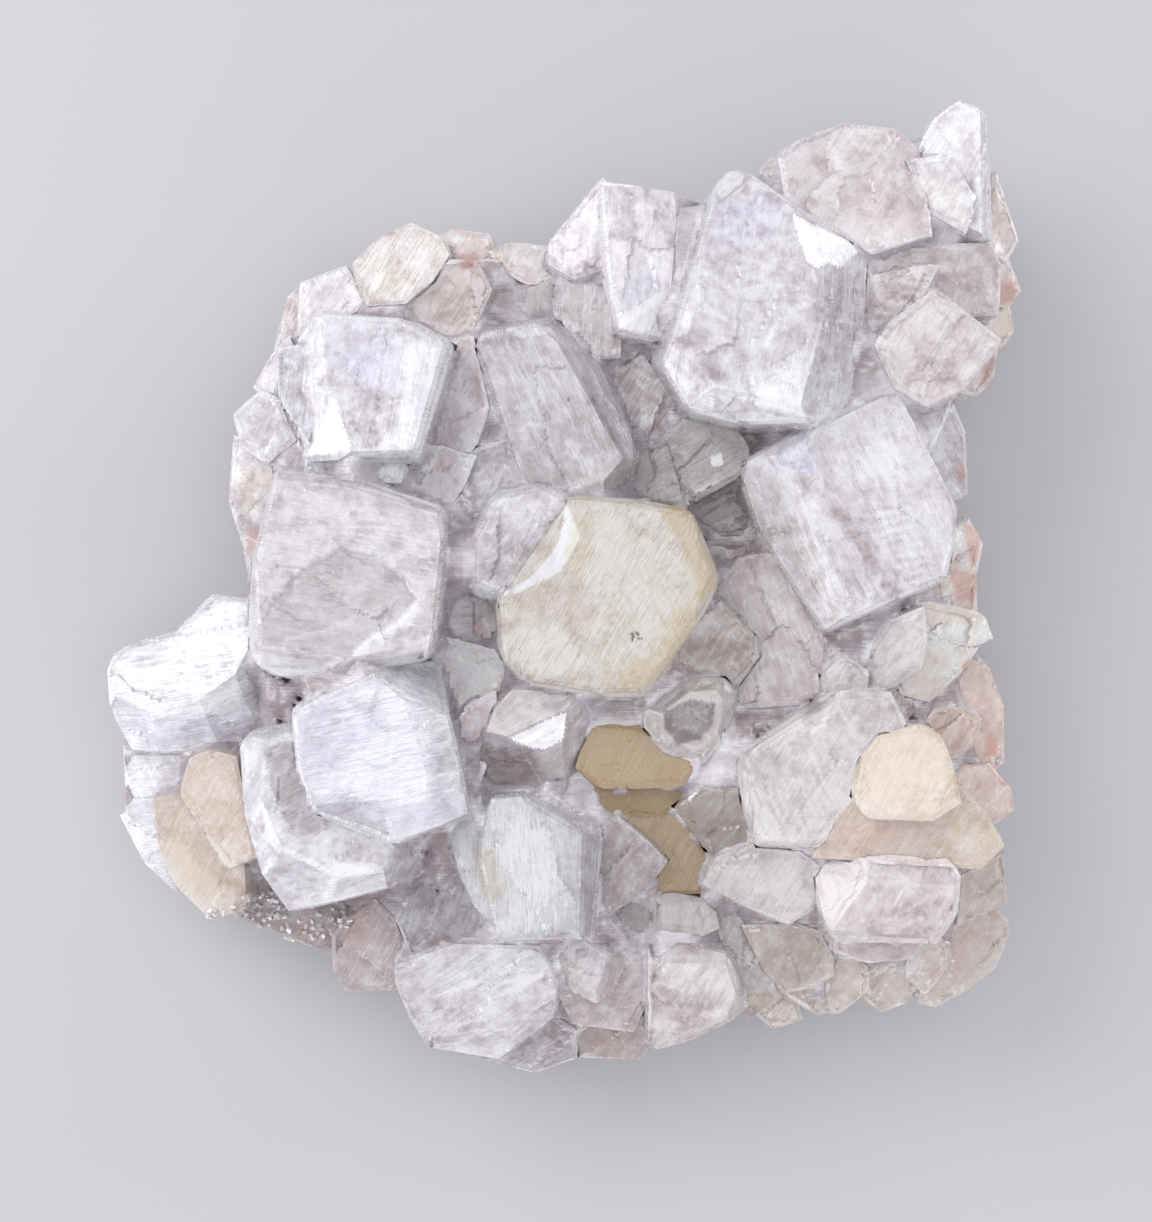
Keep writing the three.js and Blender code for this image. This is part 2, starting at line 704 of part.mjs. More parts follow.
    crystals: [
      crystal(22.4, [250, 12], [
        [-28.6, -43.9], [-23.8, -39.9], [-20.4, -43.3], [-20.8, -48.1], [-21.1, -50.4], [-27.3, -50.6],
        [-28.6, -48.3],
      ], { foot: 5 }),
      crystal(18, [250, 12], [
        [-42, -41.4], [-40, -37], [-27.4, -38], [-26.4, -41.6], [-29.4, -46.6], [-32.4, -44],
      ], { foot: 5 }),
    ],
  },
  {
    name: 'lower_right_edge_crystals',
    colour: CLEAR,
    crystals: [
      crystal(26, [250, 8], [
        [25.1, -48.2], [27.6, -50.4], [30.5, -49.8], [33.1, -48.4], [33.1, -46.5], [31.4, -43.4],
        [28.3, -42.4], [23, -42.8],
      ], { foot: 6 }),
      crystal(24, [275, 16], [
        [34.4, -45.6], [37.4, -47.8], [37.6, -50.6], [35.4, -52.6], [34.2, -53], [33.4, -49.6],
      ], { foot: 6 }),
      crystal(22.4, [272, 18], [
        [37.4, -48.6], [42.8, -46.8], [44, -50], [42.8, -52.2], [40.3, -53.2], [38.4, -51.8],
      ], { foot: 6 }),
      crystal(26, [285, 14], [
        [43.4, -45.4], [46, -43.8], [47.3, -45], [47, -47.6], [45.2, -50], [43.6, -48.4],
      ], { foot: 6 }),
      crystal(24, [312, 12], [
        [45, -51.8], [46.7, -52.3], [50.9, -50], [53.9, -47.6], [55.3, -44], [55.2, -42.3],
        [52.8, -40.5], [48.6, -42], [46.6, -46],
      ], { foot: 6 }),
      crystal(26.6, [5, 14], [
        [49.8, -36], [52.4, -35.5], [54.6, -33.6], [54.8, -39.3], [52.6, -39.6], [49.5, -41.4],
      ], { foot: 6 }),
      crystal(21, [262, 20], [
        [28.2, -51], [30.7, -50.4], [33, -50.2], [34, -53.4], [32.4, -53.8],
      ], { foot: 6 }),
      crystal(17, [262, 24], [[24.2, -53.4], [28.8, -51.6], [29.8, -55], [26.8, -56]], { foot: 5 }),
    ],
  },
  {
    name: 'top_left_cream_crystal',
    colour: CREAM,
    crystals: [
      crystal(28.4, [110, 10], [
        [-23.9, 35.3], [-19.8, 35.5], [-16.6, 38.3], [-14.9, 41.1], [-16, 43.1], [-19.1, 44.6],
        [-22.7, 43], [-25.6, 40],
      ]),
    ],
  },
  {
    name: 'top_middle_crystals',
    colour: CLEAR,
    crystals: [
      crystal(27.6, [298, 10], [
        [-18.3, 33.3], [-14.8, 31.4], [-11.9, 31.4], [-9.6, 36.8], [-11.2, 39.9], [-15.2, 39.9],
        [-18.8, 35.8],
      ]),
      crystal(22, [100, 14], [
        [-15.6, 44], [-13.7, 44.6], [-9.9, 44], [-9.3, 42.6], [-11.2, 40.6], [-13.9, 39.8],
      ]),
      crystal(25, [96, 14], [
        [-8.6, 41.8], [-6.5, 42.6], [-1.6, 42], [-0.6, 40.5], [-0.6, 37.6], [-3.6, 37.7], [-7, 39.6],
      ]),
      crystal(24, [250, 16], [
        [-10.1, 40.3], [-8, 40.3], [-4.9, 37], [-3.8, 35.8], [-8, 33.5], [-10.8, 33.9],
      ]),
    ],
  },
  {
    name: 'outer_left_crystals',
    colour: MILKY,
    crystals: [
      crystal(25.6, [160, 20], [
        [-36.4, 28.3], [-34.7, 30.1], [-33.9, 24.5], [-36.6, 23.5], [-38.2, 25.1],
      ], { foot: 7 }),
      crystal(26.6, [205, 14], [
        [-40.6, 21.4], [-37.8, 23.6], [-35.9, 22.6], [-34, 18.3], [-36.8, 16.2], [-39.8, 18.1],
      ], { foot: 7 }),
      crystal(23.4, [186, 16], [
        [-41, 18.2], [-38.9, 16.8], [-36.2, 16], [-37, 10.8], [-38.3, 5.2], [-39.3, 3.9], [-40.7, 8.3],
        [-41.6, 10.8],
      ], { foot: 6 }),
      crystal(23.4, [160, 18], [
        [-34.3, 36.2], [-32.6, 37.6], [-31.6, 32], [-34.1, 29.6], [-35.8, 30.1],
      ], { foot: 6 }),
      crystal(26.4, [118, 12], [
        [-32.4, 37.6], [-27.6, 39.4], [-25, 35.4], [-29, 33], [-32.6, 32],
      ], { foot: 7 }),
      crystal(18, [182, 12], [[-40.2, 5], [-36, 5], [-35.6, -2.4], [-39, -2]], { foot: 6 }),
    ],
  },
  {
    name: 'upper_right_tip_crystal',
    colour: MILKY,
    crystals: [
      crystal(31.4, [196, 5], [
        [47, 45.5, 60], [51.4, 43.4, 55], [51.2, 58.2, 75], [48.9, 59.4, 75], [45.3, 56.9, 75],
        [43.7, 52.6, 60],
      ], {
        outline: [
          [45.4, 57.3], [48.9, 59.9], [52, 59.2], [53, 50.7], [53.2, 42.9], [46.4, 42.5], [43.2, 52.6],
        ],
      }),
      crystal(32.6, [230, 12], [[43, 51.6], [46.7, 52], [49.6, 47.7], [49.1, 44.2], [44.9, 46.6]]),
    ],
  },
  {
    name: 'upper_right_mass',
    colour: MILKY,
    crystals: [
      crystal(32.4, [72, 9], [
        [27.7, 47.3], [37.8, 41.2, 60], [44.6, 43.3], [43.5, 53.6], [40.6, 56, 60], [34.7, 56.6, 60],
        [29.1, 54.4, 60], [26.9, 52.4],
      ]),
      crystal(27.6, [130, 16], [[24.8, 51.2], [27.3, 53.9], [29.5, 55.2], [30, 48.3], [26.4, 48.6]]),
    ],
  },
  {
    name: 'right_light_block',
    colour: MILKY,
    crystals: [
      crystal(34.4, [310, 8], [
        [40.9, 24.6], [44.4, 22.7, 45], [48.8, 24.7, 45], [53, 30.1, 60], [45.6, 35.5, 60],
        [40.3, 31.4], [38.6, 29.2],
      ]),
      crystal(33, [205, 14], [[36.8, 30.1], [40.6, 29.6], [44.7, 38.2], [37.8, 37.2], [36.4, 33.5]]),
      crystal(31, [35, 9], [
        [38, 36], [46.4, 33.5], [53.3, 34], [53.7, 39.8], [52.6, 42], [46.2, 41.7], [37.8, 40],
      ]),
    ],
  },
  {
    name: 'dark_crevice_crystal',
    colour: GREY,
    crystals: [
      brick([38, 26.4], 24, [9, 6], 30, [100, 10]),
      brick([33.6, 22.8], 22, [6, 4], 60, [250, 10]),
    ],
  },
  {
    name: 'right_edge_crystals',
    colour: CLEAR,
    crystals: [
      crystal(25, [80, 10], [
        [44.4, -5.6], [50.8, -7.2], [53, -6.2], [52.4, -4.4], [45, -2.6], [43, -3.6],
      ], { foot: 6 }),
      crystal(26, [30, 10], [
        [44.6, -7.2], [51.4, -7.6], [49.6, -10.2], [45.4, -13.8], [42.4, -13], [41.6, -11.4],
      ], { foot: 6 }),
      crystal(20, [20, 16], [[49.4, 7.4], [51, 8.2], [52.6, 5.4], [51.8, 2.2], [49, 3.2]], { foot: 6 }),
      crystal(22, [90, 12], [[43, -1.6], [47.6, 1.2], [51.6, 4], [51.4, -2.8], [44, -3.4]], { foot: 6 }),
    ],
  },
  {
    name: 'right_lower_edge_crystals',
    colour: CLEAR,
    crystals: [
      crystal(24, [350, 8], [
        [45.8, -17], [46.6, -15.8], [49.6, -15.8], [51.6, -17], [51, -19.6], [49.4, -20.8],
        [48, -21.2],
      ], { foot: 6 }),
      crystal(21, [5, 16], [
        [51.6, -9], [53.4, -10.8], [55.2, -15.2], [55.2, -22], [51.6, -25], [50.4, -12],
      ], { foot: 5 }),
      crystal(22, [20, 14], [
        [49.6, -24.6], [50.4, -23], [53.4, -22.8], [56, -25.8], [56.4, -28], [53, -30],
      ], { foot: 5 }),
    ],
  },
  {
    name: 'upper_right_edge_crystals',
    colour: CLEAR,
    crystals: [
      crystal(24, [12, 20], [
        [52.8, 42.6], [54.2, 50.6], [55.4, 47], [56.6, 43.6], [55.2, 41.4],
      ], { foot: 7 }),
      crystal(23, [5, 18], [
        [53.4, 41.6], [55.6, 41], [57, 37.4], [55.8, 35.8], [53.4, 36],
      ], { foot: 7 }),
      crystal(21.6, [350, 20], [
        [53, 36], [55.8, 35.4], [56.4, 32.6], [55, 30.8], [52.6, 31],
      ], { foot: 7 }),
      crystal(21, [320, 22], [[50.6, 31], [54.4, 31.4], [54, 27], [52, 24.8], [50, 25]], { foot: 7 }),
    ],
  },
];

// The outline of the specimen seen from above: [compass direction, reach from the middle in mm]
const outline = [
  [0, 52], [20, 53], [30, 64], [37.5, 70], [45, 75], [49.5, 79], [54, 71.5], [58.9, 68.2], [62.2, 63.5],
  [64.5, 57.8], [67.4, 57], [70, 52.5], [78, 51.5], [85, 50], [92, 42.5], [102, 44.5], [113, 49.5],
  [125, 48], [135, 50], [152, 46], [166, 43], [177, 39.5], [181, 40], [182.3, 44], [187.5, 49], [189, 56],
  [193, 58], [206, 60], [214, 62], [225, 58], [234, 54], [241, 57], [247, 54], [255, 59.5], [266, 60.5],
  [275, 59.5], [284, 60.5], [294, 60.5], [302, 63], [307, 64], [312, 69], [320, 70], [328, 65],
  [336, 61.5], [343, 57.5], [353, 53],
];

// How far the outline reaches in a direction, in degrees
function reachAt(direction) {
  const turned = ((direction % 360) + 360) % 360;
  const next = outline.findIndex(([from]) => from > turned);
  const [to, far] = next < 0 ? [360, outline[0][1]] : outline[next];
  const [from, near] = outline[(next < 0 ? outline.length : next) - 1];
  return near + ((far - near) * (turned - from)) / (to - from);
}

// A point so far from the middle in a direction, at a height
function pointAt(direction, reach, height) {
  const turn = radians(direction);
  return new THREE.Vector3(reach * Math.cos(turn), reach * Math.sin(turn), height);
}

// The matrix plate: a rough slab, widest a little above its flat cut back, level where crystals stand
function plateSolid(margin) {
  const random = scatterFrom(7);
  const rough = Array.from({ length: PLATE_STEPS }, () => [random(), random(), random()]);
  const rings = [
    { inset: BACK_INSET, height: () => -margin, wobble: 1.6 },
    { inset: RIM_INSET + 1.4, height: (r) => 3 + 1.4 * r[0], wobble: 1.4 },
    { inset: RIM_INSET, height: (r) => 6.4 + 1.2 * r[1], wobble: 1.2 },
    { inset: RIM_INSET + 2.4, height: () => PLATE_TOP + margin, wobble: 0.8 },
  ];
  const points = [new THREE.Vector3(0, 0, -margin)];
  rings.forEach(({ inset, height, wobble }, level) => {
    rough.forEach((r, n) => {
      const direction = (n * 360) / PLATE_STEPS;
      const reach = reachAt(direction) - inset - wobble * r[(level + 1) % 3] + margin * 1.5;
      points.push(pointAt(direction, reach, height(r)));
    });
  });
  points.push(new THREE.Vector3(0, 0, PLATE_TOP + margin));
  const at = (level, n) => 1 + level * PLATE_STEPS + (n % PLATE_STEPS);
  const top = points.length - 1;
  const index = [];
  for (let n = 0; n < PLATE_STEPS; n += 1) {
    index.push(0, at(0, n + 1), at(0, n));
    for (let level = 0; level + 1 < rings.length; level += 1) {
      index.push(at(level, n), at(level, n + 1), at(level + 1, n + 1));
      index.push(at(level, n), at(level + 1, n + 1), at(level + 1, n));
    }
    index.push(top, at(rings.length - 1, n), at(rings.length - 1, n + 1));
  }
  const geometry = new THREE.BufferGeometry().setFromPoints(points);
  geometry.setIndex(index);
  return solidOf(geometry);
}

// A small crystal turned any way, for the crust
function grain(middle, size, [direction, degrees], turn) {
  const hinge = new THREE.Vector3(-Math.sin(radians(direction)), Math.cos(radians(direction)), 0);
  const geometry = boxGeometry(size, size * 0.85, size * 1.5);
  geometry.rotateZ(radians(turn));
  geometry.applyQuaternion(new THREE.Quaternion().setFromAxisAngle(hinge, radians(degrees)));
  geometry.translate(...middle);
  return solidOf(geometry);
}

// Low crystals deep in the gaps, [x, y, height, length, width, turn], which grow out of the matrix
const fillers = [
  [-32, 15.6, 20, 7, 6, 10], [-14.5, -3, 19, 8, 9, 0], [-17.4, -37.4, 19, 7, 9, 20],
  [-21.4, -39.6, 17, 8, 7, 30], [7.2, -15.4, 17, 11, 8, 0], [18.6, -24.6, 20, 10, 8, 20],
  [22.6, -29, 19, 5, 12, 0], [7, -36.6, 18, 8, 9, 30], [10.6, -43, 19, 13, 6, 0], [19.6, -42.6, 21, 8, 9, 0],
  [18.8, -37.8, 20, 6, 6, 20], [-0.6, -47.4, 15, 5, 6, 0], [20.4, 8.6, 18, 9, 7, 0], [36, 21, 18, 8, 7, 30],
  [-3, 36, 18, 8, 7, 0], [-32.6, 30, 18, 7, 8, 0], [-35, -12.6, 17, 8, 7, 0], [45, -7, 17, 10, 10, 0],
  [-12, -31, 18, 8, 10, 0], [30.4, -43, 18, 9, 7, 0],
];

// The crust: the fillers, and small crystals that grow on the rim of the matrix and lean outwards
function crustSolid() {
  const random = scatterFrom(21);
  const made = fillers.map(([x, y, height, long, wide, turn]) => {
    const lean = [360 * random(), 12 * random()];
    return crystalSolid(brick([x, y], height, [long, wide], turn, lean), 0);
  });
  for (let n = 0; n < GRAINS; n += 1) {
    const direction = ((n + 0.5 * random()) * 360) / GRAINS;
    const size = 4.4 + 2.8 * random();
    const up = 9 + (n % 2) * 6 * random();
    const middle = pointAt(direction, reachAt(direction) - RIM_INSET - 3.4 - 1.6 * random(), up);
    const lean = [direction + 50 * (random() - 0.5), 35 + 35 * random()];
    made.push(grain(middle, size, lean, 90 * random()));
  }
  return made.reduce((sum, solid) => sum.add(solid));
}

function meshOf(name, colour, solid) {
  const material = new THREE.MeshStandardMaterial({ color: colour, roughness: 0.3, metalness: 0 });
  const mesh = new THREE.Mesh(geometryOf(solid), material);
  mesh.name = name;
  return mesh;
}

const cluster = new THREE.Group();
const plateRoom = plateSolid(GAP);
const rooms = [];
for (const { name, colour, crystals } of pieces) {
  let solid = bodyOf(crystals);
  for (const room of rooms) solid = solid.subtract(room);
  solid = solid.subtract(plateRoom);
  cluster.add(meshOf(name, colour, largestBody(solid.simplify(SLIVER))));
  rooms.push(bodyOf(crystals, GAP));
}
const crust = rooms.reduce((solid, room) => solid.subtract(room), crustSolid());
cluster.add(meshOf('matrix', PINK, largestBody(plateSolid(0).add(crust).simplify(SLIVER))));

// The origin is the middle of the specimen's box, on the surface it lies on
const whole = new THREE.Box3().setFromObject(cluster);
const middle = whole.getCenter(new THREE.Vector3());
cluster.children.forEach((mesh) => mesh.position.set(-middle.x, -middle.y, -whole.min.z));

export default cluster;
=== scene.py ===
"""The looks of an apophyllite specimen: milky and clear blocks, stilbite sheaves and a pinkish matrix."""
import json
import math

import bmesh
import bpy
import numpy as np
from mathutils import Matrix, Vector
from mathutils.bvhtree import BVHTree
from mathutils.kdtree import KDTree

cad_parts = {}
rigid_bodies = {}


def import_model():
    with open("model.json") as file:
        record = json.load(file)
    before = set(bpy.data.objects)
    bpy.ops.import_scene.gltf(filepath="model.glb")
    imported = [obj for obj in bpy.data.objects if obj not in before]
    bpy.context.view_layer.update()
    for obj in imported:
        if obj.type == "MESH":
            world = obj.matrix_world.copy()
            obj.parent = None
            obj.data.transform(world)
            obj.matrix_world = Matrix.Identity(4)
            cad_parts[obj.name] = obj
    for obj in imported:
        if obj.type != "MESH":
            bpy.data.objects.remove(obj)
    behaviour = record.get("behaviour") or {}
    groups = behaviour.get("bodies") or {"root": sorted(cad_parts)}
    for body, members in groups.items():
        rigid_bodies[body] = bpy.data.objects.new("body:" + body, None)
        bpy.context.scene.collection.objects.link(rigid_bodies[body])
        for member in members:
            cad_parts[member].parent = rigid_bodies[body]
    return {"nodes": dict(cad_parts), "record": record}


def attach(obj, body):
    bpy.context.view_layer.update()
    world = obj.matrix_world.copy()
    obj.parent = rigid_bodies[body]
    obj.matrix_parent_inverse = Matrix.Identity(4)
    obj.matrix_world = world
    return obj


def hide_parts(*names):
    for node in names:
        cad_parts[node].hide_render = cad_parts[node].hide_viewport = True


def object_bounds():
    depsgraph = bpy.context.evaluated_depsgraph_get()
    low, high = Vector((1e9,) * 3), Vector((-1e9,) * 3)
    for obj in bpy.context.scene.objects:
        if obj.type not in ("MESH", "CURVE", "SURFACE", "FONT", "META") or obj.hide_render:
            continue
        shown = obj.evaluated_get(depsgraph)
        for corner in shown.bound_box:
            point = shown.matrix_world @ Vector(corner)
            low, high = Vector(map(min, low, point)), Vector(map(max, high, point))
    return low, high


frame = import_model()
CAD_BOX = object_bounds()
TOP = CAD_BOX[1][2]
MM = 0.001
DOWN = Vector((0, 0, -1))

# The photograph in pixels, and the camera: straight down, 45 cm above the surface, with lens and sensor in mm
PHOTO_WIDTH = 1152
PHOTO_HEIGHT = 1222
CAMERA_AIM = (1.31 * MM, -2.2 * MM)
CAMERA_HEIGHT = 450 * MM
CAMERA_LENS = 100.2
SENSOR = 36
FOCAL_PIXELS = CAMERA_LENS / SENSOR * PHOTO_HEIGHT

# Floor, and each light: name, place, width, height, watts
FLOOR_REACH = 3
FLOOR_DROP = 0.2 * MM
SKY_STRENGTH = 0.78
LIGHTS = (
    ("key", (-0.42, 0.34, 0.55), 0.5, 0.5, 3.1),
    ("top", (0.12, 0.05, 0.95), 0.6, 0.6, 2.3),
    ("left_card", (-0.6, -0.15, 0.16), 0.5, 0.28, 1.8),
    ("lower_card", (0.1, -0.62, 0.2), 0.6, 0.3, 1.6),
    ("right_card", (0.62, 0.3, 0.22), 0.4, 0.3, 1.8),
)

# Spacing of the fine meshes: on the faces that look up, on the walls, and underneath
CRYSTAL_STEPS = (0.42 * MM, 1.1 * MM, 4 * MM)
MATRIX_STEPS = (1.6 * MM, 0.9 * MM, 6 * MM)
# An edge longer than this many steps is halved, in at most so many rounds
LONGEST = 1.34
HALVINGS = 9
# Edges sharper than this, in degrees, are a crystal's real edges
SHARP = 9
# A facet whose area is less than this much of its outline's length is a blunted edge
NARROW = 0.62 * MM
# A blunted edge is filled up towards the facet above by this share, and by no more than this height
FILLED = 0.85
MOST_FILLED = 1.2 * MM
# The gap that the model leaves between its solids, and how far every point stays inside the model's box
GAP = 0.3 * MM
INSET = 0.02 * MM
MATRIX_TOP = 10 * MM

# Relief of the crystals' faces, in mm: soft waves, ridges along the grain, chipped edges
WAVE = 0.06
RIDGES = 0.06
CHIPS = 0.12
# Growth steps and slabs are lower on the frosted and silky pieces
SMOOTH_SLOTS = ("cream_crystal", "stilbite")
SMOOTH_STEPS = 0.06
SMOOTH_SLABS = 0.05
STEPS = 0.2
SLABS = 0.2
SLAB_SIZE = 6
SLAB_TONE = 0.12
MOST_SLABS = 400
# How much the facets of one piece differ in level, at random: painted light and shade, standing in for facets
# that catch the lamps differently
FACET_TONE = 0.14
# Painted shade: what lies deep in the cluster is darker, between these depths below the top, in mm, and by at
# most so much
SUNK_FROM = 7
SUNK_TO = 22
SUNK = 0.3


# Small tools

def shade(red, green, blue, alpha=1.0):
    """A colour given on a 0 to 255 scale, as Blender's linear colour."""
    linear = [((c / 255 + 0.055) / 1.055) ** 2.4 if c > 10 else c / 255 / 12.92 for c in (red, green, blue)]
    return (*linear, alpha)


def lattice(cells, seed):
    """A steady random number from -1 to 1 for each whole-numbered cell."""
    mixed = cells[..., 0] * 73856093 ^ cells[..., 1] * 19349663 ^ cells[..., 2] * 83492791 ^ seed * 2654435
    mixed = (mixed ^ (mixed >> 13)) * 1274126177
    return ((mixed ^ (mixed >> 16)) & 0xFFFF) / 32767.5 - 1


def cloud(points, size, seed=0, octaves=2):
    """Smooth noise from -1 to 1 at each point, with lumps of about the size given."""
    total = np.zeros(len(points))
    weight = 1.0
    for octave in range(octaves):
        place = points / size * 2**octave + 13.7 * seed + 5.3 * octave
        cell = np.floor(place).astype(np.int64)
        part = place - cell
        part = part * part * (3 - 2 * part)
        value = np.zeros(len(points))
        for corner in range(8):
            step = np.array([corner & 1, corner >> 1 & 1, corner >> 2 & 1])
            share = np.prod(np.where(step, part, 1 - part), axis=1)
            value += share * lattice(cell + step, seed + octave)
        total += weight * value
        weight *= 0.5
    return total / (2 - 2 * weight)


def soft_step(value, low, high):
    """0 below low, 1 above high, smooth between."""
    t = np.clip((value - low) / (high - low), 0, 1)
    return t * t * (3 - 2 * t)


def sunk_shade(points):
    """How much darker each point is painted, as shade, for lying deep in the cluster."""
    return SUNK * soft_step((TOP - points[:, 2]) / MM, SUNK_FROM, SUNK_TO)


def read(collection, name, width, kind=float):
    """One value or vector for each item of a mesh."""
    values = np.zeros(len(collection) * width, dtype=kind)
    collection.foreach_get(name, values)
    return values.reshape(-1, width) if width > 1 else values


def nearest_of(places):
    """A tree that finds the nearest of some places, given as (number, place)."""
    tree = KDTree(len(places))
    for number, place in places:
        tree.insert(place, number)
    tree.balance()
    return tree


def add_object(name, data):
    """A new object in the scene."""
    item = bpy.data.objects.new(name, data)
    bpy.context.scene.collection.objects.link(item)
    return item


# Node trees

class Tree:
    """Writes a node tree: each call adds a node and gives back its output."""

    def __init__(self, tree):
        self.tree = tree

    def add(self, kind, inputs=None, **settings):
        node = self.tree.nodes.new(kind)
        for name, value in settings.items():
            setattr(node, name, value)
        for key, value in (inputs or {}).items():
            if isinstance(value, bpy.types.NodeSocket):
                self.tree.links.new(value, node.inputs[key])
            else:
                node.inputs[key].default_value = value
        return node

    def link(self, output, entry):
        self.tree.links.new(output, entry)

    def math(self, operation, first, second=0.0, clamp=False):
        inputs = {0: first, 1: second}
        return self.add("ShaderNodeMath", inputs, operation=operation, use_clamp=clamp).outputs[0]

    def mix(self, first, second, share):
        return self.add("ShaderNodeMix", {0: share, 6: first, 7: second}, data_type="RGBA").outputs[2]

    def noise(self, vector, scale, detail, roughness, distortion=0.0):
        return self.add("ShaderNodeTexNoise", {
            "Vector": vector, "Scale": scale, "Detail": detail, "Roughness": roughness,
            "Distortion": distortion,
        }).outputs["Fac"]

    def ramp(self, value, low, high, start=0.0, end=1.0):
        return self.add("ShaderNodeMapRange", {0: value, 1: low, 2: high, 3: start, 4: end}).outputs[0]

    def stretch(self, vector, scale):
        return self.add("ShaderNodeMapping", {"Vector": vector, "Scale": scale}).outputs[0]

    def scaled(self, vector, factor):
        return self.add("ShaderNodeVectorMath", {0: vector, 3: factor}, operation="SCALE").outputs[0]


def new_group(kind, name, inputs, outputs):
    """A node group with named sockets, each (name, kind)."""
    group = bpy.data.node_groups.new(name, kind)
    for direction, sockets in (("INPUT", inputs), ("OUTPUT", outputs)):
        for socket, socket_kind in sockets:
            group.interface.new_socket(socket, in_out=direction, socket_type=f"NodeSocket{socket_kind}")
    tree = Tree(group)
    entry = tree.add("NodeGroupInput")
    leave = tree.add("NodeGroupOutput")
    return group, tree, entry.outputs, leave.inputs


def new_material(name):
    """A material, the writer of its tree, and its Principled node."""
    material = bpy.data.materials.new(name)
    material.use_nodes = True
    return material, Tree(material.node_tree), material.node_tree.nodes["Principled BSDF"]


# Stage

def add_camera():
    """The camera, straight above the specimen."""
    camera = add_object("camera", bpy.data.cameras.new("camera"))
    camera.data.lens = CAMERA_LENS
    camera.data.sensor_width = SENSOR
    camera.data.clip_start = 0.01
    camera.location = (*CAMERA_AIM, CAMERA_HEIGHT)
    bpy.context.scene.camera = camera


def add_floor():
    """The grey surface that the specimen lies on."""
    material, _, paint = new_material("floor")
    paint.inputs["Base Color"].default_value = shade(172, 171, 174)
    paint.inputs["Roughness"].default_value = 0.7
    corners = [(x * FLOOR_REACH, y * FLOOR_REACH, 0) for x, y in ((-1, -1), (1, -1), (1, 1), (-1, 1))]
    mesh = bpy.data.meshes.new("floor")
    mesh.from_pydata(corners, [], [(0, 1, 2, 3)])
    mesh.materials.append(material)
    floor = add_object("floor", mesh)
    floor.location.z = -FLOOR_DROP


def add_lights():
    """A pale sky and soft lamps around the specimen."""
    world = bpy.data.worlds.new("studio")
    world.use_nodes = True
    sky = world.node_tree.nodes["Background"]
    sky.inputs["Color"].default_value = (0.93, 0.95, 1, 1)
    sky.inputs["Strength"].default_value = SKY_STRENGTH
    bpy.context.scene.world = world
    for name, place, width, height, watts in LIGHTS:
        light = bpy.data.lights.new(name, "AREA")
        light.shape = "RECTANGLE"
        light.size = width
        light.size_y = height
        light.energy = watts
        lamp = add_object(name, light)
        lamp.location = place
        lamp.rotation_mode = "QUATERNION"
        lamp.rotation_quaternion = (-Vector(place)).to_track_quat("-Z", "Y")


add_camera()
add_floor()
add_lights()
bpy.context.scene.view_settings.view_transform = "Standard"


# Finishes

LILAC = shade(216, 215, 240)
PINK = shade(206, 162, 150)
BROWN = shade(76, 58, 54)
STRAW = shade(214, 198, 150)
CRYSTAL_IOR = 1.535


def growth_line_group():
    """Hair-fine growth lines along a face's grain, wisps, mottling and a fine sparkle of painted glints."""
    group, tree, given, result = new_group(
        "ShaderNodeTree", "growth_lines", [("Grain", "Vector"), ("Place", "Vector"), ("Fineness", "Float")],
        [(output, "Float") for output in ("Lines", "Wisps", "Mottle", "Sparkle", "Height")],
    )
    spread = tree.scaled(given["Grain"], given["Fineness"])
    threads = tree.noise(tree.stretch(spread, (2.2, 34, 1)), scale=1, detail=3, roughness=0.68)
    mottle = tree.noise(given["Place"], scale=430, detail=5, roughness=0.76)
    drift = tree.noise(tree.stretch(spread, (1.1, 5, 1)), scale=1, detail=4, roughness=0.62, distortion=1.4)
    away = tree.math("ABSOLUTE", tree.math("SUBTRACT", drift, 0.5))
    tree.link(tree.ramp(threads, 0.38, 0.7, -1.0, 1.0), result["Lines"])
    tree.link(tree.ramp(away, 0.0, 0.07, 1.0, 0.0), result["Wisps"])
    tree.link(tree.ramp(mottle, 0.32, 0.68, -1.0, 1.0), result["Mottle"])
    tree.link(tree.ramp(mottle, 0.58, 0.72), result["Sparkle"])
    tree.link(threads, result["Height"])
    return group


GROWTH_LINES = growth_line_group()


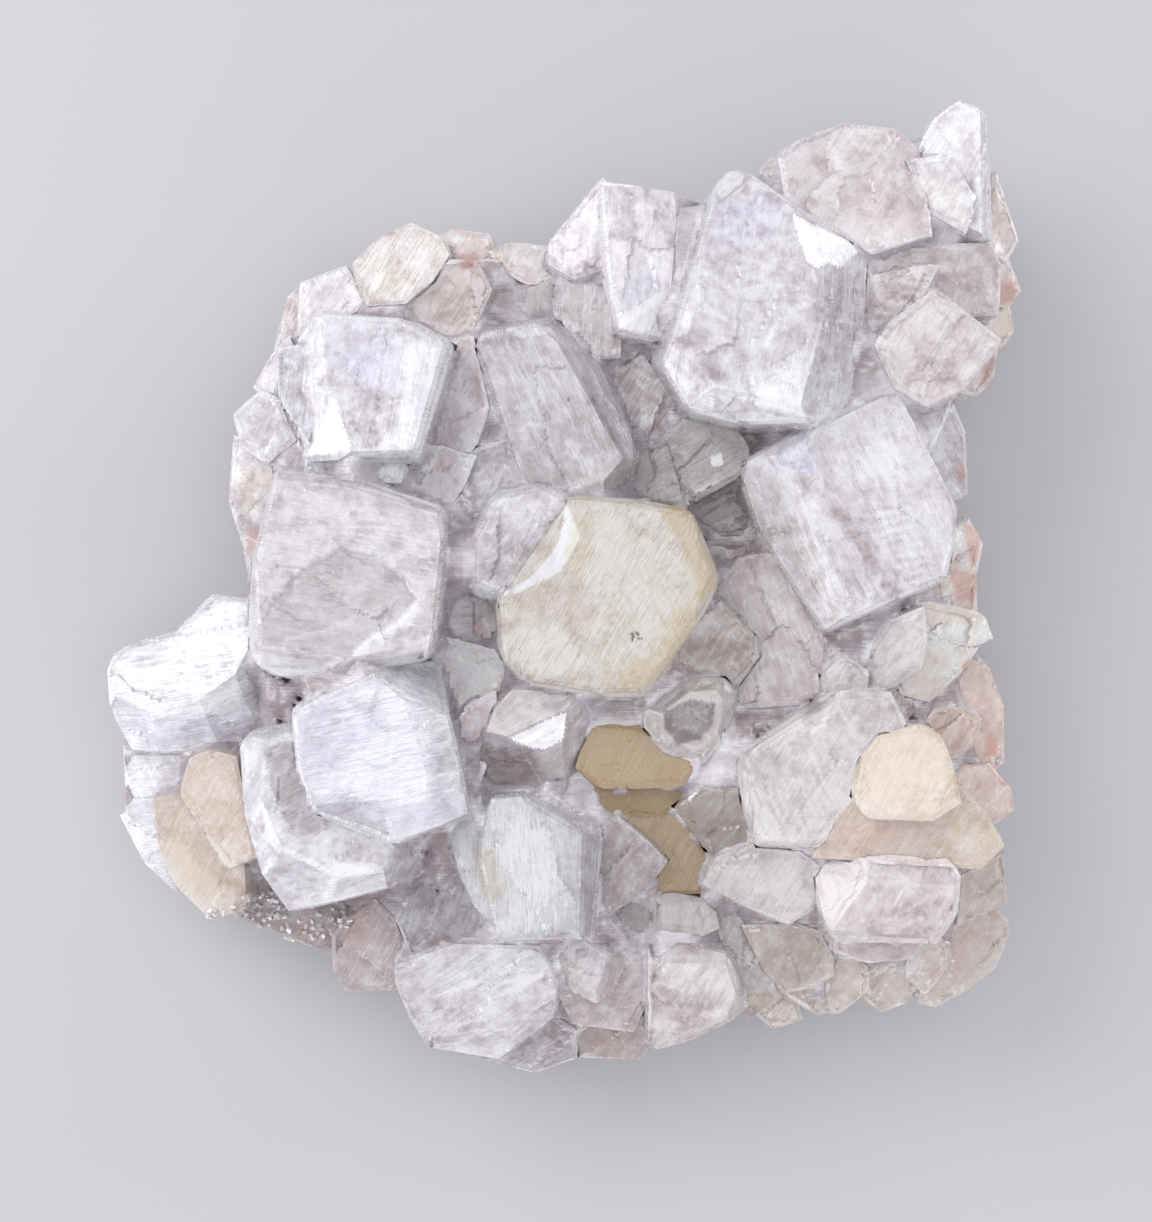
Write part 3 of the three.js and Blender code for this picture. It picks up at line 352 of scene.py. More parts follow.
def crystal_material(name, body, deep, white, transmission, rough=(0.1, 0.42), lines=0.35, wisps=0.35,
                     sparkle=0.3, fineness=1.0, bump=0.35, warm=STRAW, density=0.0, coat=0.0, mottle=0.4):
    """A crystal's finish. rough is for its clear and its white places, milky or painted highlight; lines to
    sparkle are strengths.
    """
    material, tree, paint = new_material(name)
    marks = tree.add("ShaderNodeAttribute", attribute_name="marks")
    # The white channel holds the milky colour and painted highlights, glints and lamp reflections; the deep
    # channel holds darker colour and painted shade
    white_and_highlights, depth, warmth = tree.add("ShaderNodeSeparateColor", {0: marks.outputs["Color"]}).outputs
    tints = tree.add("ShaderNodeAttribute", attribute_name="tints")
    lilac, pink, brown = tree.add("ShaderNodeSeparateColor", {0: tints.outputs["Color"]}).outputs
    growth = tree.add("ShaderNodeGroup", node_tree=GROWTH_LINES)
    tree.link(tree.add("ShaderNodeUVMap", uv_map="grain").outputs["UV"], growth.inputs["Grain"])
    tree.link(tree.add("ShaderNodeTexCoord").outputs["Object"], growth.inputs["Place"])
    growth.inputs["Fineness"].default_value = fineness

    fine = tree.math("MULTIPLY", growth.outputs["Lines"], lines)
    fine = tree.math("ADD", fine, tree.math("MULTIPLY", growth.outputs["Wisps"], wisps))
    fine = tree.math("MULTIPLY", fine, tree.math("ADD", tree.math("MULTIPLY", white_and_highlights, 0.7), 0.3))
    # Painted glints: a fine sparkle whitened into the colour where the face is white
    painted_sparkle = tree.math("MULTIPLY", tree.math("MULTIPLY", growth.outputs["Sparkle"], sparkle), white_and_highlights)
    mottled = tree.math("MULTIPLY", growth.outputs["Mottle"], mottle)
    whiteness = tree.math("ADD", tree.math("ADD", white_and_highlights, fine), painted_sparkle)
    whiteness = tree.math("ADD", whiteness, tree.math("MULTIPLY", mottled, 0.5), clamp=True)
    depth = tree.math("SUBTRACT", depth, mottled, clamp=True)

    washes = (LILAC, lilac), (deep, depth), (white, whiteness), (warm, warmth), (PINK, pink), (BROWN, brown)
    colour = body
    for over, share in washes:
        colour = tree.mix(colour, over, share)
    levelled = tree.add("ShaderNodeMix", {0: 1.0, 6: colour, 7: marks.outputs["Alpha"]},
                        data_type="RGBA", blend_type="MULTIPLY", clamp_result=True)
    tree.link(levelled.outputs[2], paint.inputs["Base Color"])
    tree.link(tree.ramp(whiteness, 0.0, 1.0, *rough), paint.inputs["Roughness"])
    relief = tree.math("MULTIPLY", growth.outputs["Height"], lines)
    bumped = tree.add("ShaderNodeBump", {"Height": relief, "Strength": bump, "Distance": 0.6 * MM})
    tree.link(bumped.outputs[0], paint.inputs["Normal"])
    paint.inputs["Transmission Weight"].default_value = transmission
    paint.inputs["IOR"].default_value = CRYSTAL_IOR
    paint.inputs["Coat Weight"].default_value = coat
    paint.inputs["Coat Roughness"].default_value = 0.08
    if density:
        drink = tree.add("ShaderNodeVolumeAbsorption", {"Color": shade(196, 184, 194), "Density": density})
        tree.link(drink.outputs[0], material.node_tree.nodes["Material Output"].inputs["Volume"])
    return material


def rock_material():
    """Rough pinkish rock with paler grains."""
    material, tree, paint = new_material("matrix_rock")
    place = tree.add("ShaderNodeTexCoord").outputs["Object"]
    patches = tree.noise(place, scale=180, detail=4, roughness=0.6, distortion=0.4)
    grains = tree.noise(place, scale=900, detail=3, roughness=0.7)
    colour = tree.mix(shade(236, 224, 222), shade(204, 158, 147), tree.ramp(patches, 0.5, 0.68))
    colour = tree.mix(colour, shade(240, 234, 234), tree.ramp(grains, 0.52, 0.64))
    tree.link(colour, paint.inputs["Base Color"])
    tree.link(tree.ramp(grains, 0.3, 0.7, 0.45, 0.8), paint.inputs["Roughness"])
    bumped = tree.add("ShaderNodeBump", {"Height": grains, "Strength": 0.6, "Distance": 1.2 * MM})
    tree.link(bumped.outputs[0], paint.inputs["Normal"])
    return material


FINISHES = {
    "milky_crystal": crystal_material(
        "milky_apophyllite", shade(224, 219, 224), shade(166, 149, 155), shade(250, 250, 253), 0.3,
        lines=0.4, wisps=0.4, sparkle=0.5, coat=0.45, mottle=0.5,
    ),
    "silky_crystal": crystal_material(
        "silky_apophyllite", shade(224, 223, 231), shade(174, 163, 172), shade(250, 250, 254), 0.25,
        lines=0.7, sparkle=0.4, fineness=1.3, bump=0.6, coat=0.6,
    ),
    "grey_crystal": crystal_material(
        "grey_apophyllite", shade(220, 213, 217), shade(166, 148, 153), shade(250, 249, 252), 0.4,
        lines=0.6, sparkle=0.5, fineness=1.2, bump=0.6, coat=0.7,
    ),
    "clear_crystal": crystal_material(
        "clear_apophyllite", shade(236, 226, 224), shade(192, 171, 167), shade(252, 250, 252), 0.5,
        (0.06, 0.4), lines=0.4, sparkle=0.45, bump=0.4, density=4, coat=0.7,
    ),
    "cream_crystal": crystal_material(
        "frosted_apophyllite", shade(236, 226, 217), shade(198, 178, 160), shade(252, 248, 243), 0.1,
        (0.22, 0.5), lines=0.7, sparkle=0.9, mottle=0.6, warm=shade(220, 196, 150), bump=0.9, coat=0.3,
    ),
    "stilbite": crystal_material(
        "stilbite", shade(226, 208, 192), shade(188, 162, 138), shade(246, 238, 230), 0.15, (0.18, 0.45),
        lines=0.4, sparkle=0.5, warm=shade(222, 190, 146), bump=0.6, mottle=0.45, coat=0.2,
    ),
}
WINDOW = crystal_material(
    "clear_window", shade(230, 223, 228), shade(186, 173, 178), shade(250, 249, 252), 0.45, (0.04, 0.4),
    lines=0.45, sparkle=0.3, bump=0.4, density=3, coat=0.6, mottle=0.5,
)
# Painted lamp reflection: the faces that a full-white patch covers, opaque and white
REFLECTION_FACE = crystal_material(
    "painted_reflection_face", shade(228, 227, 230), shade(204, 198, 204), shade(250, 250, 252), 0.0, (0.2, 0.35),
    lines=0.5, wisps=0.3, sparkle=0.3, bump=0.3, coat=0.5, mottle=0.5,
)
ROCK = rock_material()


# Crystals: each piece starts from its own node of the model

def facets_of(node):
    """The node's solid with its flat facets as single faces."""
    form = bmesh.new()
    form.from_mesh(frame["nodes"][node].data)
    bmesh.ops.remove_doubles(form, verts=form.verts, dist=1e-6)
    bmesh.ops.dissolve_limit(form, angle_limit=math.radians(1.2), verts=form.verts, edges=form.edges,
                             use_dissolve_boundaries=False)
    return form


def blunted_edges(form):
    """The narrow facets along a crystal's rim, each with the number and plane of the wide facet above it."""
    form.faces.index_update()
    narrow = {face.index for face in form.faces if face.calc_area() < NARROW * face.calc_perimeter()}
    above = {}
    for face in form.faces:
        beside = [other for edge in face.edges for other in edge.link_faces if other.index not in narrow]
        best = max(beside, key=lambda other: other.normal.z, default=None)
        if face.index in narrow and best and best.normal.z > max(face.normal.z, 0.3):
            above[face.index] = (best.index, np.array(best.normal), np.array(best.calc_center_median()))
    return above


def refine(form, steps):
    """Cuts the facets up evenly, finely on top and more coarsely elsewhere, and marks the edges."""
    facet = form.faces.layers.int.new("facet")
    step = form.faces.layers.float.new("step")
    for index, face in enumerate(form.faces):
        face[facet] = index
        upward = face.normal.z
        face[step] = steps[0 if upward > 0.12 else 1 if upward > -0.8 else 2]
    for edge in form.edges:
        if len(edge.link_faces) == 2 and edge.calc_face_angle(0) > math.radians(SHARP):
            edge.smooth = False
    for _ in range(HALVINGS):
        long = [
            edge for edge in form.edges
            if edge.calc_length() > LONGEST * min((face[step] for face in edge.link_faces), default=1.0)
        ]
        if long:
            bmesh.ops.subdivide_edges(form, edges=long, cuts=1)
        many = [face for face in form.faces if len(face.verts) > 3]
        if not many and not long:
            break
        bmesh.ops.triangulate(form, faces=many, quad_method="SHORT_EDGE", ngon_method="BEAUTY")
    return facet


def rim_points(form, facet, above):
    """The points on sharp edges, other than those between a blunted edge and the facet above it."""
    rims = set()
    for edge in form.edges:
        sides = {face[facet]: face.normal.z for face in edge.link_faces}
        inner = any(side in above and max(sides, key=sides.get) != side for side in sides)
        if not edge.smooth and not inner:
            rims |= {vertex.index for vertex in edge.verts}
    return rims


def write_looks(mesh, layers, level, grain):
    """Stores what the finishes read, corner by corner."""
    for name, kinds in (("marks", ("white", "deep", "warm")), ("tints", ("lilac", "pink", "brown"))):
        values = np.ones((len(mesh.loops), 4))
        values[:, :3] = np.clip(np.stack([layers[kind] for kind in kinds], axis=1), 0, 1)
        values[:, 3] = level
        layer = mesh.attributes.new(name, "FLOAT_COLOR", "CORNER")
        layer.data.foreach_set("color", values.astype(np.float32).ravel())
    layer = mesh.uv_layers.new(name="grain")
    layer.uv.foreach_set("vector", grain.astype(np.float32).ravel())


LAYERS = ("white", "deep", "warm", "pink", "brown", "lilac", "clear", "facet", "rise")


class Stone:
    """A crystal's fine mesh, with what its looks are worked out from."""

    def __init__(self, node, grain, steps=CRYSTAL_STEPS):
        form = facets_of(node)
        self.node = node
        self.solid = BVHTree.FromBMesh(form)
        above = blunted_edges(form)
        facet = refine(form, steps)
        form.verts.index_update()
        self.facet = np.array([face[facet] for face in form.faces])
        rims = rim_points(form, facet, above)
        self.mesh = bpy.data.meshes.new(node + "_crystal")
        form.to_mesh(self.mesh)
        form.free()
        self.points = read(self.mesh.vertices, "co", 3)
        self.normals = read(self.mesh.vertices, "normal", 3)
        self.corner = read(self.mesh.loops, "vertex_index", 1, np.int64)
        self.face_normals = read(self.mesh.polygons, "normal", 3)
        self.corner_facet = np.repeat(self.facet, 3)
        self.seed = sum(map(ord, node)) % 997
        rim_tree = nearest_of([(index, self.points[index]) for index in rims])
        self.edge = np.array([rim_tree.find(point)[2] for point in self.points])
        self.lay_grain(grain)
        self.layers = {kind: np.zeros(len(self.points)) for kind in LAYERS}
        self.facet_tone = np.random.default_rng(self.seed).random(self.facet.max() + 1)
        self.raised = np.zeros(len(self.points))
        for low, (high, normal, centre) in above.items():
            self.facet_tone[low] = self.facet_tone[high]
            mine = np.unique(self.corner[self.corner_facet == low])
            away = self.points[mine, :2] - centre[:2]
            lift = centre[2] - away @ normal[:2] / normal[2] - self.points[mine, 2]
            self.raised[mine] = np.maximum(self.raised[mine], np.clip(FILLED * lift, 0, MOST_FILLED))

    def lay_grain(self, direction):
        """A UV map in centimetres, along and across the grain; direction is seen from above."""
        turn = math.radians(direction)
        level = np.array([math.cos(turn), math.sin(turn), 0])
        normal = self.face_normals
        steep = np.abs(normal[:, 2]) < 0.4
        along = np.where(steep[:, None], np.array([0, 0, 1.0]), level)
        along = along - normal * np.sum(along * normal, axis=1)[:, None]
        along /= np.linalg.norm(along, axis=1)[:, None] + 1e-9
        across = np.cross(normal, along)
        place = self.points[self.corner] * 100
        rows = np.repeat(np.arange(len(normal)), 3)
        self.grain = np.stack([np.sum(place * way[rows], axis=1) for way in (along, across)], axis=1)
        shift = np.random.default_rng(5).random((self.facet.max() + 1, 2)) * 9
        self.grain += shift[self.corner_facet]
        self.thread = np.zeros((len(self.points), 3))
        self.thread[self.corner, :2] = self.grain * 10

    # Where a mark lies: it is drawn on the photograph, and each of its pixels is looked up on the piece

    def under(self, pixels):
        """The places on the piece that pixels of the photograph show, seen from above."""
        places = []
        for pixel in pixels.split():
            right, down = map(float, pixel.split(","))
            slope = np.array([right - PHOTO_WIDTH / 2, PHOTO_HEIGHT / 2 - down]) / FOCAL_PIXELS
            height = self.points[:, 2].max() - 1 * MM
            for _ in range(4):
                place = np.array(CAMERA_AIM) + slope * (CAMERA_HEIGHT - height)
                hit = self.solid.ray_cast(Vector((*place, CAMERA_HEIGHT)), DOWN)[0]
                height = hit.z if hit else height
            places.append(place)
        return np.array(places)

    def from_line(self, path, closed=False):
        """Distance of each point from a line, seen from above; negative inside a closed one."""
        ends = np.roll(path, -1, axis=0) if closed else path[1:]
        spots = self.points[:, :2]
        nearest = np.full(len(spots), 1.0)
        inside = np.zeros(len(spots), dtype=bool)
        for start, end in zip(path, ends):
            way = end - start
            share = np.clip((spots - start) @ way / (way @ way + 1e-12), 0, 1)
            nearest = np.minimum(nearest, np.hypot(*(spots - start - share[:, None] * way).T))
            crosses = (start[1] > spots[:, 1]) != (end[1] > spots[:, 1])
            meets = start[0] + (spots[:, 1] - start[1]) * way[0] / (way[1] + 1e-12)
            inside ^= crosses & (spots[:, 0] < meets)
        return np.where(inside, -nearest, nearest) if closed else nearest

    # Marks, each drawn into a layer by the amount given

    def all(self, kind, amount):
        """Marks the whole piece."""
        self.layers[kind] += amount

    def patch(self, kind, amount, soft, ragged, path):
        """Marks an area. soft and ragged are in mm. An area of full white is a painted lamp reflection, given
        its own opaque white finish.
        """
        away = self.from_line(path, True) + ragged * MM * cloud(self.points, 2.2 * MM, self.seed + 3, 3)
        value = 1 - soft_step(away, -soft * MM / 2, soft * MM / 2)
        self.layers[kind] += amount * value
        # A full-white patch is a painted lamp reflection: its faces later take their own opaque white finish
        if kind == "white" and amount >= 1:
            self.layers["facet"] += value
            self.layers["white"] -= 0.7 * value

    def stroke(self, kind, amount, width, broken, path):
        """Marks a line of about the width given, in mm."""
        away = self.from_line(path) + 0.2 * MM * cloud(self.points, 1.6 * MM, self.seed + 5, 3)
        value = 1 - soft_step(away, 0.15 * width * MM, 0.6 * width * MM)
        if broken:
            value *= soft_step(cloud(self.points, 1.8 * MM, self.seed + 6, 2), broken - 0.6, broken)
        self.layers[kind] += amount * value

    def hatch(self, kind, amount, angle, spacing, broken, path):
        """Marks an area with uneven stripes: their direction in degrees, their spacing in mm."""
        inside = 1 - soft_step(self.from_line(path, True), -0.4 * MM, 0.4 * MM)
        turn = math.radians(angle)
        along = self.points[:, 0] * math.cos(turn) + self.points[:, 1] * math.sin(turn)
        across = self.points[:, 1] * math.cos(turn) - self.points[:, 0] * math.sin(turn)
        wander = 0.3 * cloud(self.points, 3 * MM, self.seed + 30, 2)
        wave = np.sin(2 * math.pi * (across / (spacing * MM) + wander))
        drawn = np.stack([along / (3 * MM), across / (0.8 * MM), along * 0], axis=1)
        shown = soft_step(cloud(drawn, 1.0, self.seed + 31, 2), broken - 0.5, broken)
        self.layers[kind] += 0.5 * amount * inside * shown * soft_step(wave, -0.4, 0.9)

    # Patterns

    def cloud_body(self, milk, silk, wisps, veils):
        """The crystal's own clouds, threads along the grain, and the curved veils of inner cracks."""
        thread = self.thread
        haze = soft_step(cloud(self.points, 9 * MM, self.seed + 10, 3), -0.35, 0.5)
        threads = cloud(thread * np.array([0.16, 1.6, 1]), 1.0, self.seed + 11, 3)
        patches = soft_step(cloud(self.points, 6 * MM, self.seed + 12, 2), -0.25, 0.3)
        white = milk * (0.25 + 0.75 * haze) + silk * soft_step(threads, -0.1, 0.6) * (0.35 + 0.65 * patches)
        folded = 1 - np.abs(cloud(thread * np.array([0.28, 0.8, 1]), 1.0, self.seed + 13, 3)) * 2.2
        white += wisps * soft_step(folded, 0.72, 0.98) * patches
        bends = cloud(self.points, 10 * MM, self.seed + 14, 3)
        for level in (-0.34, -0.1, 0.12, 0.33):
            beyond = bends - level
            line = np.exp(-(beyond / 0.016) ** 2)
            glow = np.where(beyond > 0, np.exp(-beyond / 0.07), 0) * 0.45
            shown = soft_step(cloud(self.points, 7 * MM, self.seed + 15 + int(level * 50), 2), -0.05, 0.3)
            white += veils * shown * np.maximum(line, glow)
        self.layers["white"] += white
        self.layers["deep"] += (1 - haze) * 0.27

    def slabs(self, rise):
        """Growth slabs along the grain, each a little higher or lower, tilted and toned its own way."""
        chooser = np.random.default_rng(self.seed + 20)
        wander = np.stack([cloud(self.points, 4 * MM, self.seed + 21 + axis, 2) for axis in range(3)], axis=1)
        stretched = self.thread * np.array([0.4, 1, 0]) + 0.9 * wander
        low, high = stretched.min(axis=0), stretched.max(axis=0)
        count = int(max(4, np.prod((high - low)[:2]) / SLAB_SIZE**2))
        centres = low + chooser.random((min(count, MOST_SLABS), 3)) * (high - low)
        tree = nearest_of(list(enumerate(centres)))
        cell = np.array([tree.find(point)[1] for point in stretched])
        away = stretched - centres[cell]
        tilt = chooser.normal(0, 1, (len(centres), 3))[cell]
        height = chooser.normal(0, 0.6, len(centres))[cell] + np.sum(tilt * away, axis=1) * 0.22
        self.layers["rise"] += rise * np.clip(height, -1.6, 1.6) * soft_step(self.edge, 0, 1.5 * MM)
        self.layers["white"] += SLAB_TONE * chooser.normal(0, 1, len(centres))[cell]

    def shape(self, steps):
        """Moves the points: waves, growth steps, ridges along the grain, slabs, chips, and closed gaps."""
        upward = soft_step(self.normals[:, 2], 0.1, 0.5)
        inner = soft_step(self.edge, 0.2 * MM, 1.2 * MM)
        move = WAVE * cloud(self.points, 7 * MM, self.seed, 2) * inner
        rise = cloud(self.points, 9 * MM, self.seed + 1, 3) * 3.2
        level = np.floor(rise) + soft_step(rise - np.floor(rise), 0.82, 1.0)
        move += steps * (level - rise * 0.6) * 0.5 * inner * upward
        move += RIDGES * cloud(self.thread * np.array([0.1, 1.4, 1]), 1.0, self.seed + 2, 2) * inner
        move = (move + self.layers["rise"] * upward) * MM
        near = 1 - soft_step(self.edge, 0, 0.6 * MM)
        bite = soft_step(cloud(self.points, 2.2 * MM, self.seed + 4, 3), 0.05, 0.55)
        move -= near * upward * CHIPS * MM * bite
        side = 1 - soft_step(np.abs(self.normals[:, 2]), 0.3, 0.75)
        move += side * soft_step(self.edge, 0.1 * MM, 0.9 * MM) * 1.1 * GAP
        moved = self.points + self.normals * move[:, None]
        moved[:, 2] += self.raised
        self.moved = np.clip(moved, np.array(CAD_BOX[0]) + INSET, np.array(CAD_BOX[1]) - INSET)

    def finish(self, slot, material):
        """Writes the mesh and its attributes, and hands the piece to the frame in place of its node."""
        self.mesh.vertices.foreach_set("co", self.moved.ravel())
        tone, pinkness = TONES.get(self.node, (1, 0))
        layers = self.layers
        layers["pink"] += pinkness
        layers["deep"] += sunk_shade(self.points)
        # Painted light: steep walls near a rim are lighter, as if lit from the side
        side = 1 - soft_step(np.abs(self.normals[:, 2]), 0.2, 0.6)
        layers["white"] += 0.6 * side * (1 - soft_step(self.edge, 0.5 * MM, 4 * MM))
        # Painted highlight: a thin white line along the rims, broken into patches
        patchy = soft_step(cloud(self.points, 3 * MM, self.seed + 7, 2), -0.2, 0.4)
        rim_highlight = (1 - soft_step(self.edge, 0.02 * MM, 0.42 * MM)) * patchy
        layers["white"] = np.maximum(layers["white"] * (1 - 0.55 * np.clip(layers["deep"], 0, 1)), 0.5 * rim_highlight)
        # Each facet's level carries its random share of painted light and shade
        level = tone * (1 - FACET_TONE * self.facet_tone[self.corner_facet])
        looks = {kind: layer[self.corner] for kind, layer in layers.items()}
        write_looks(self.mesh, looks, level, self.grain)
        finishes = [material]
        chosen = np.zeros(len(self.facet), dtype=np.int32)
        # Faces marked clear take the window finish, and faces painted as a lamp reflection take their own
        for kind, finish in (("clear", WINDOW), ("facet", REFLECTION_FACE)):
            hit = layers[kind][self.corner].reshape(-1, 3).mean(axis=1) > 0.5
            if hit.any() and slot not in ("stilbite", "matrix"):
                chosen[hit] = len(finishes)
                finishes.append(finish)
        for finish in finishes:
            self.mesh.materials.append(finish)
        self.mesh.polygons.foreach_set("material_index", chosen)
        self.mesh.update()
        piece = add_object(self.node + "_crystal", self.mesh)
        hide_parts(self.node)
        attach(piece, "root")
        return piece


# Each piece's own level against its finish (1 is the same), and how pinkish it is
TONES = {
    "upper_right_block": (0.9, 0.02), "right_block": (0.86, 0.04), "left_block": (0.85, 0.02),
    "cream_centre_crystal": (0.68, 0.02), "upper_left_block": (0.93, 0), "lower_right_block": (0.88, 0.1),
    "bottom_middle_crystals": (0.83, 0.14), "bottom_left_block": (0.88, 0.03),
    "centre_bottom_block": (0.76, 0.04), "right_light_block": (0.96, 0.08), "lower_left_block": (0.9, 0),
    "lower_right_edge_crystals": (1.06, 0.06), "right_stilbite_sheaf": (0.79, 0.04),
    "rounded_lower_right_crystal": (0.9, 0.14), "right_centre_prisms": (1.19, 0.14),
    "left_stilbite_sheaf": (0.72, 0.1), "centre_left_small_crystal": (0.89, 0.05),
    "lower_centre_block": (0.97, 0.05), "outer_left_crystals": (0.94, 0.03), "crevice_crystals": (0.7, 0.05),
    "top_middle_crystals": (1.2, 0.04), "lower_left_edge_crystal": (0.88, 0.15),
    "right_lower_edge_crystals": (1.26, 0.16), "upper_centre_stilbite_sheaf": (0.5, 0.02),
    "right_edge_crystals": (1.5, 0), "ringed_crystal": (0.92, 0.08), "small_clear_crystal": (0.8, 0.15),
    "lower_right_light_crystal": (0.84, 0.12), "top_left_cream_crystal": (0.88, 0),
    "purple_grey_crystal": (0.88, 0), "dark_left_crystals": (1.75, 0.04), "fibrous_crystal": (1.16, 0.04),
    "striped_dark_crystal": (1.36, 0), "far_left_crystal": (1.14, 0), "centre_left_block": (1.04, 0),
    "pointed_grey_crystal": (1.65, 0.03), "dark_striated_crystal": (0.97, 0.05),
    "bright_striated_crystal": (0.56, 0.25), "lower_centre_stilbite_sheaf": (0.46, 0.02),
    "upper_right_edge_crystals": (1.25, 0.03), "dark_upper_left_crystal": (1.75, 0),
    "dark_crevice_crystal": (0.5, 0.15), "veined_clear_crystal": (0.96, 0.08),
    "upper_right_mass": (0.93, 0.04),
}
SLOTS = {entry["node"]: entry["material_slot"] for entry in frame["record"]["subparts"]}
# What each finish starts from: milk, silk, wisps and veils
CHARACTERS = {
    "milky_crystal": (0.3, 0.2, 0.18, 0.35),
    "silky_crystal": (0.35, 0.35, 0.2, 0.15),
    "grey_crystal": (0.1, 0.3, 0.25, 0.25),
    "clear_crystal": (0.1, 0.1, 0.25, 0.4),
    "cream_crystal": (0.5, 0.15, 0.3, 0.15),
    "stilbite": (0.25, 0.2, 0.2, 0.1),
}
# Each piece's grain: the direction of its growth lines, seen from above
USUAL_GRAIN = 60
GRAIN = {
    "upper_right_block": 78, "left_block": 172, "striated_left_block": 12, "right_block": 118,
    "upper_left_block": 80, "centre_left_block": 116, "centre_bottom_block": 92, "far_left_crystal": 8,
    "upper_middle_block": 84, "lower_left_block": 30, "dark_striated_crystal": 62, "purple_grey_crystal": 68,
    "bright_striated_crystal": 88, "fibrous_crystal": 86, "lower_centre_block": 30, "bottom_left_block": 32,
    "striped_dark_crystal": 58, "crevice_crystals": 28, "right_centre_prisms": 108,
}
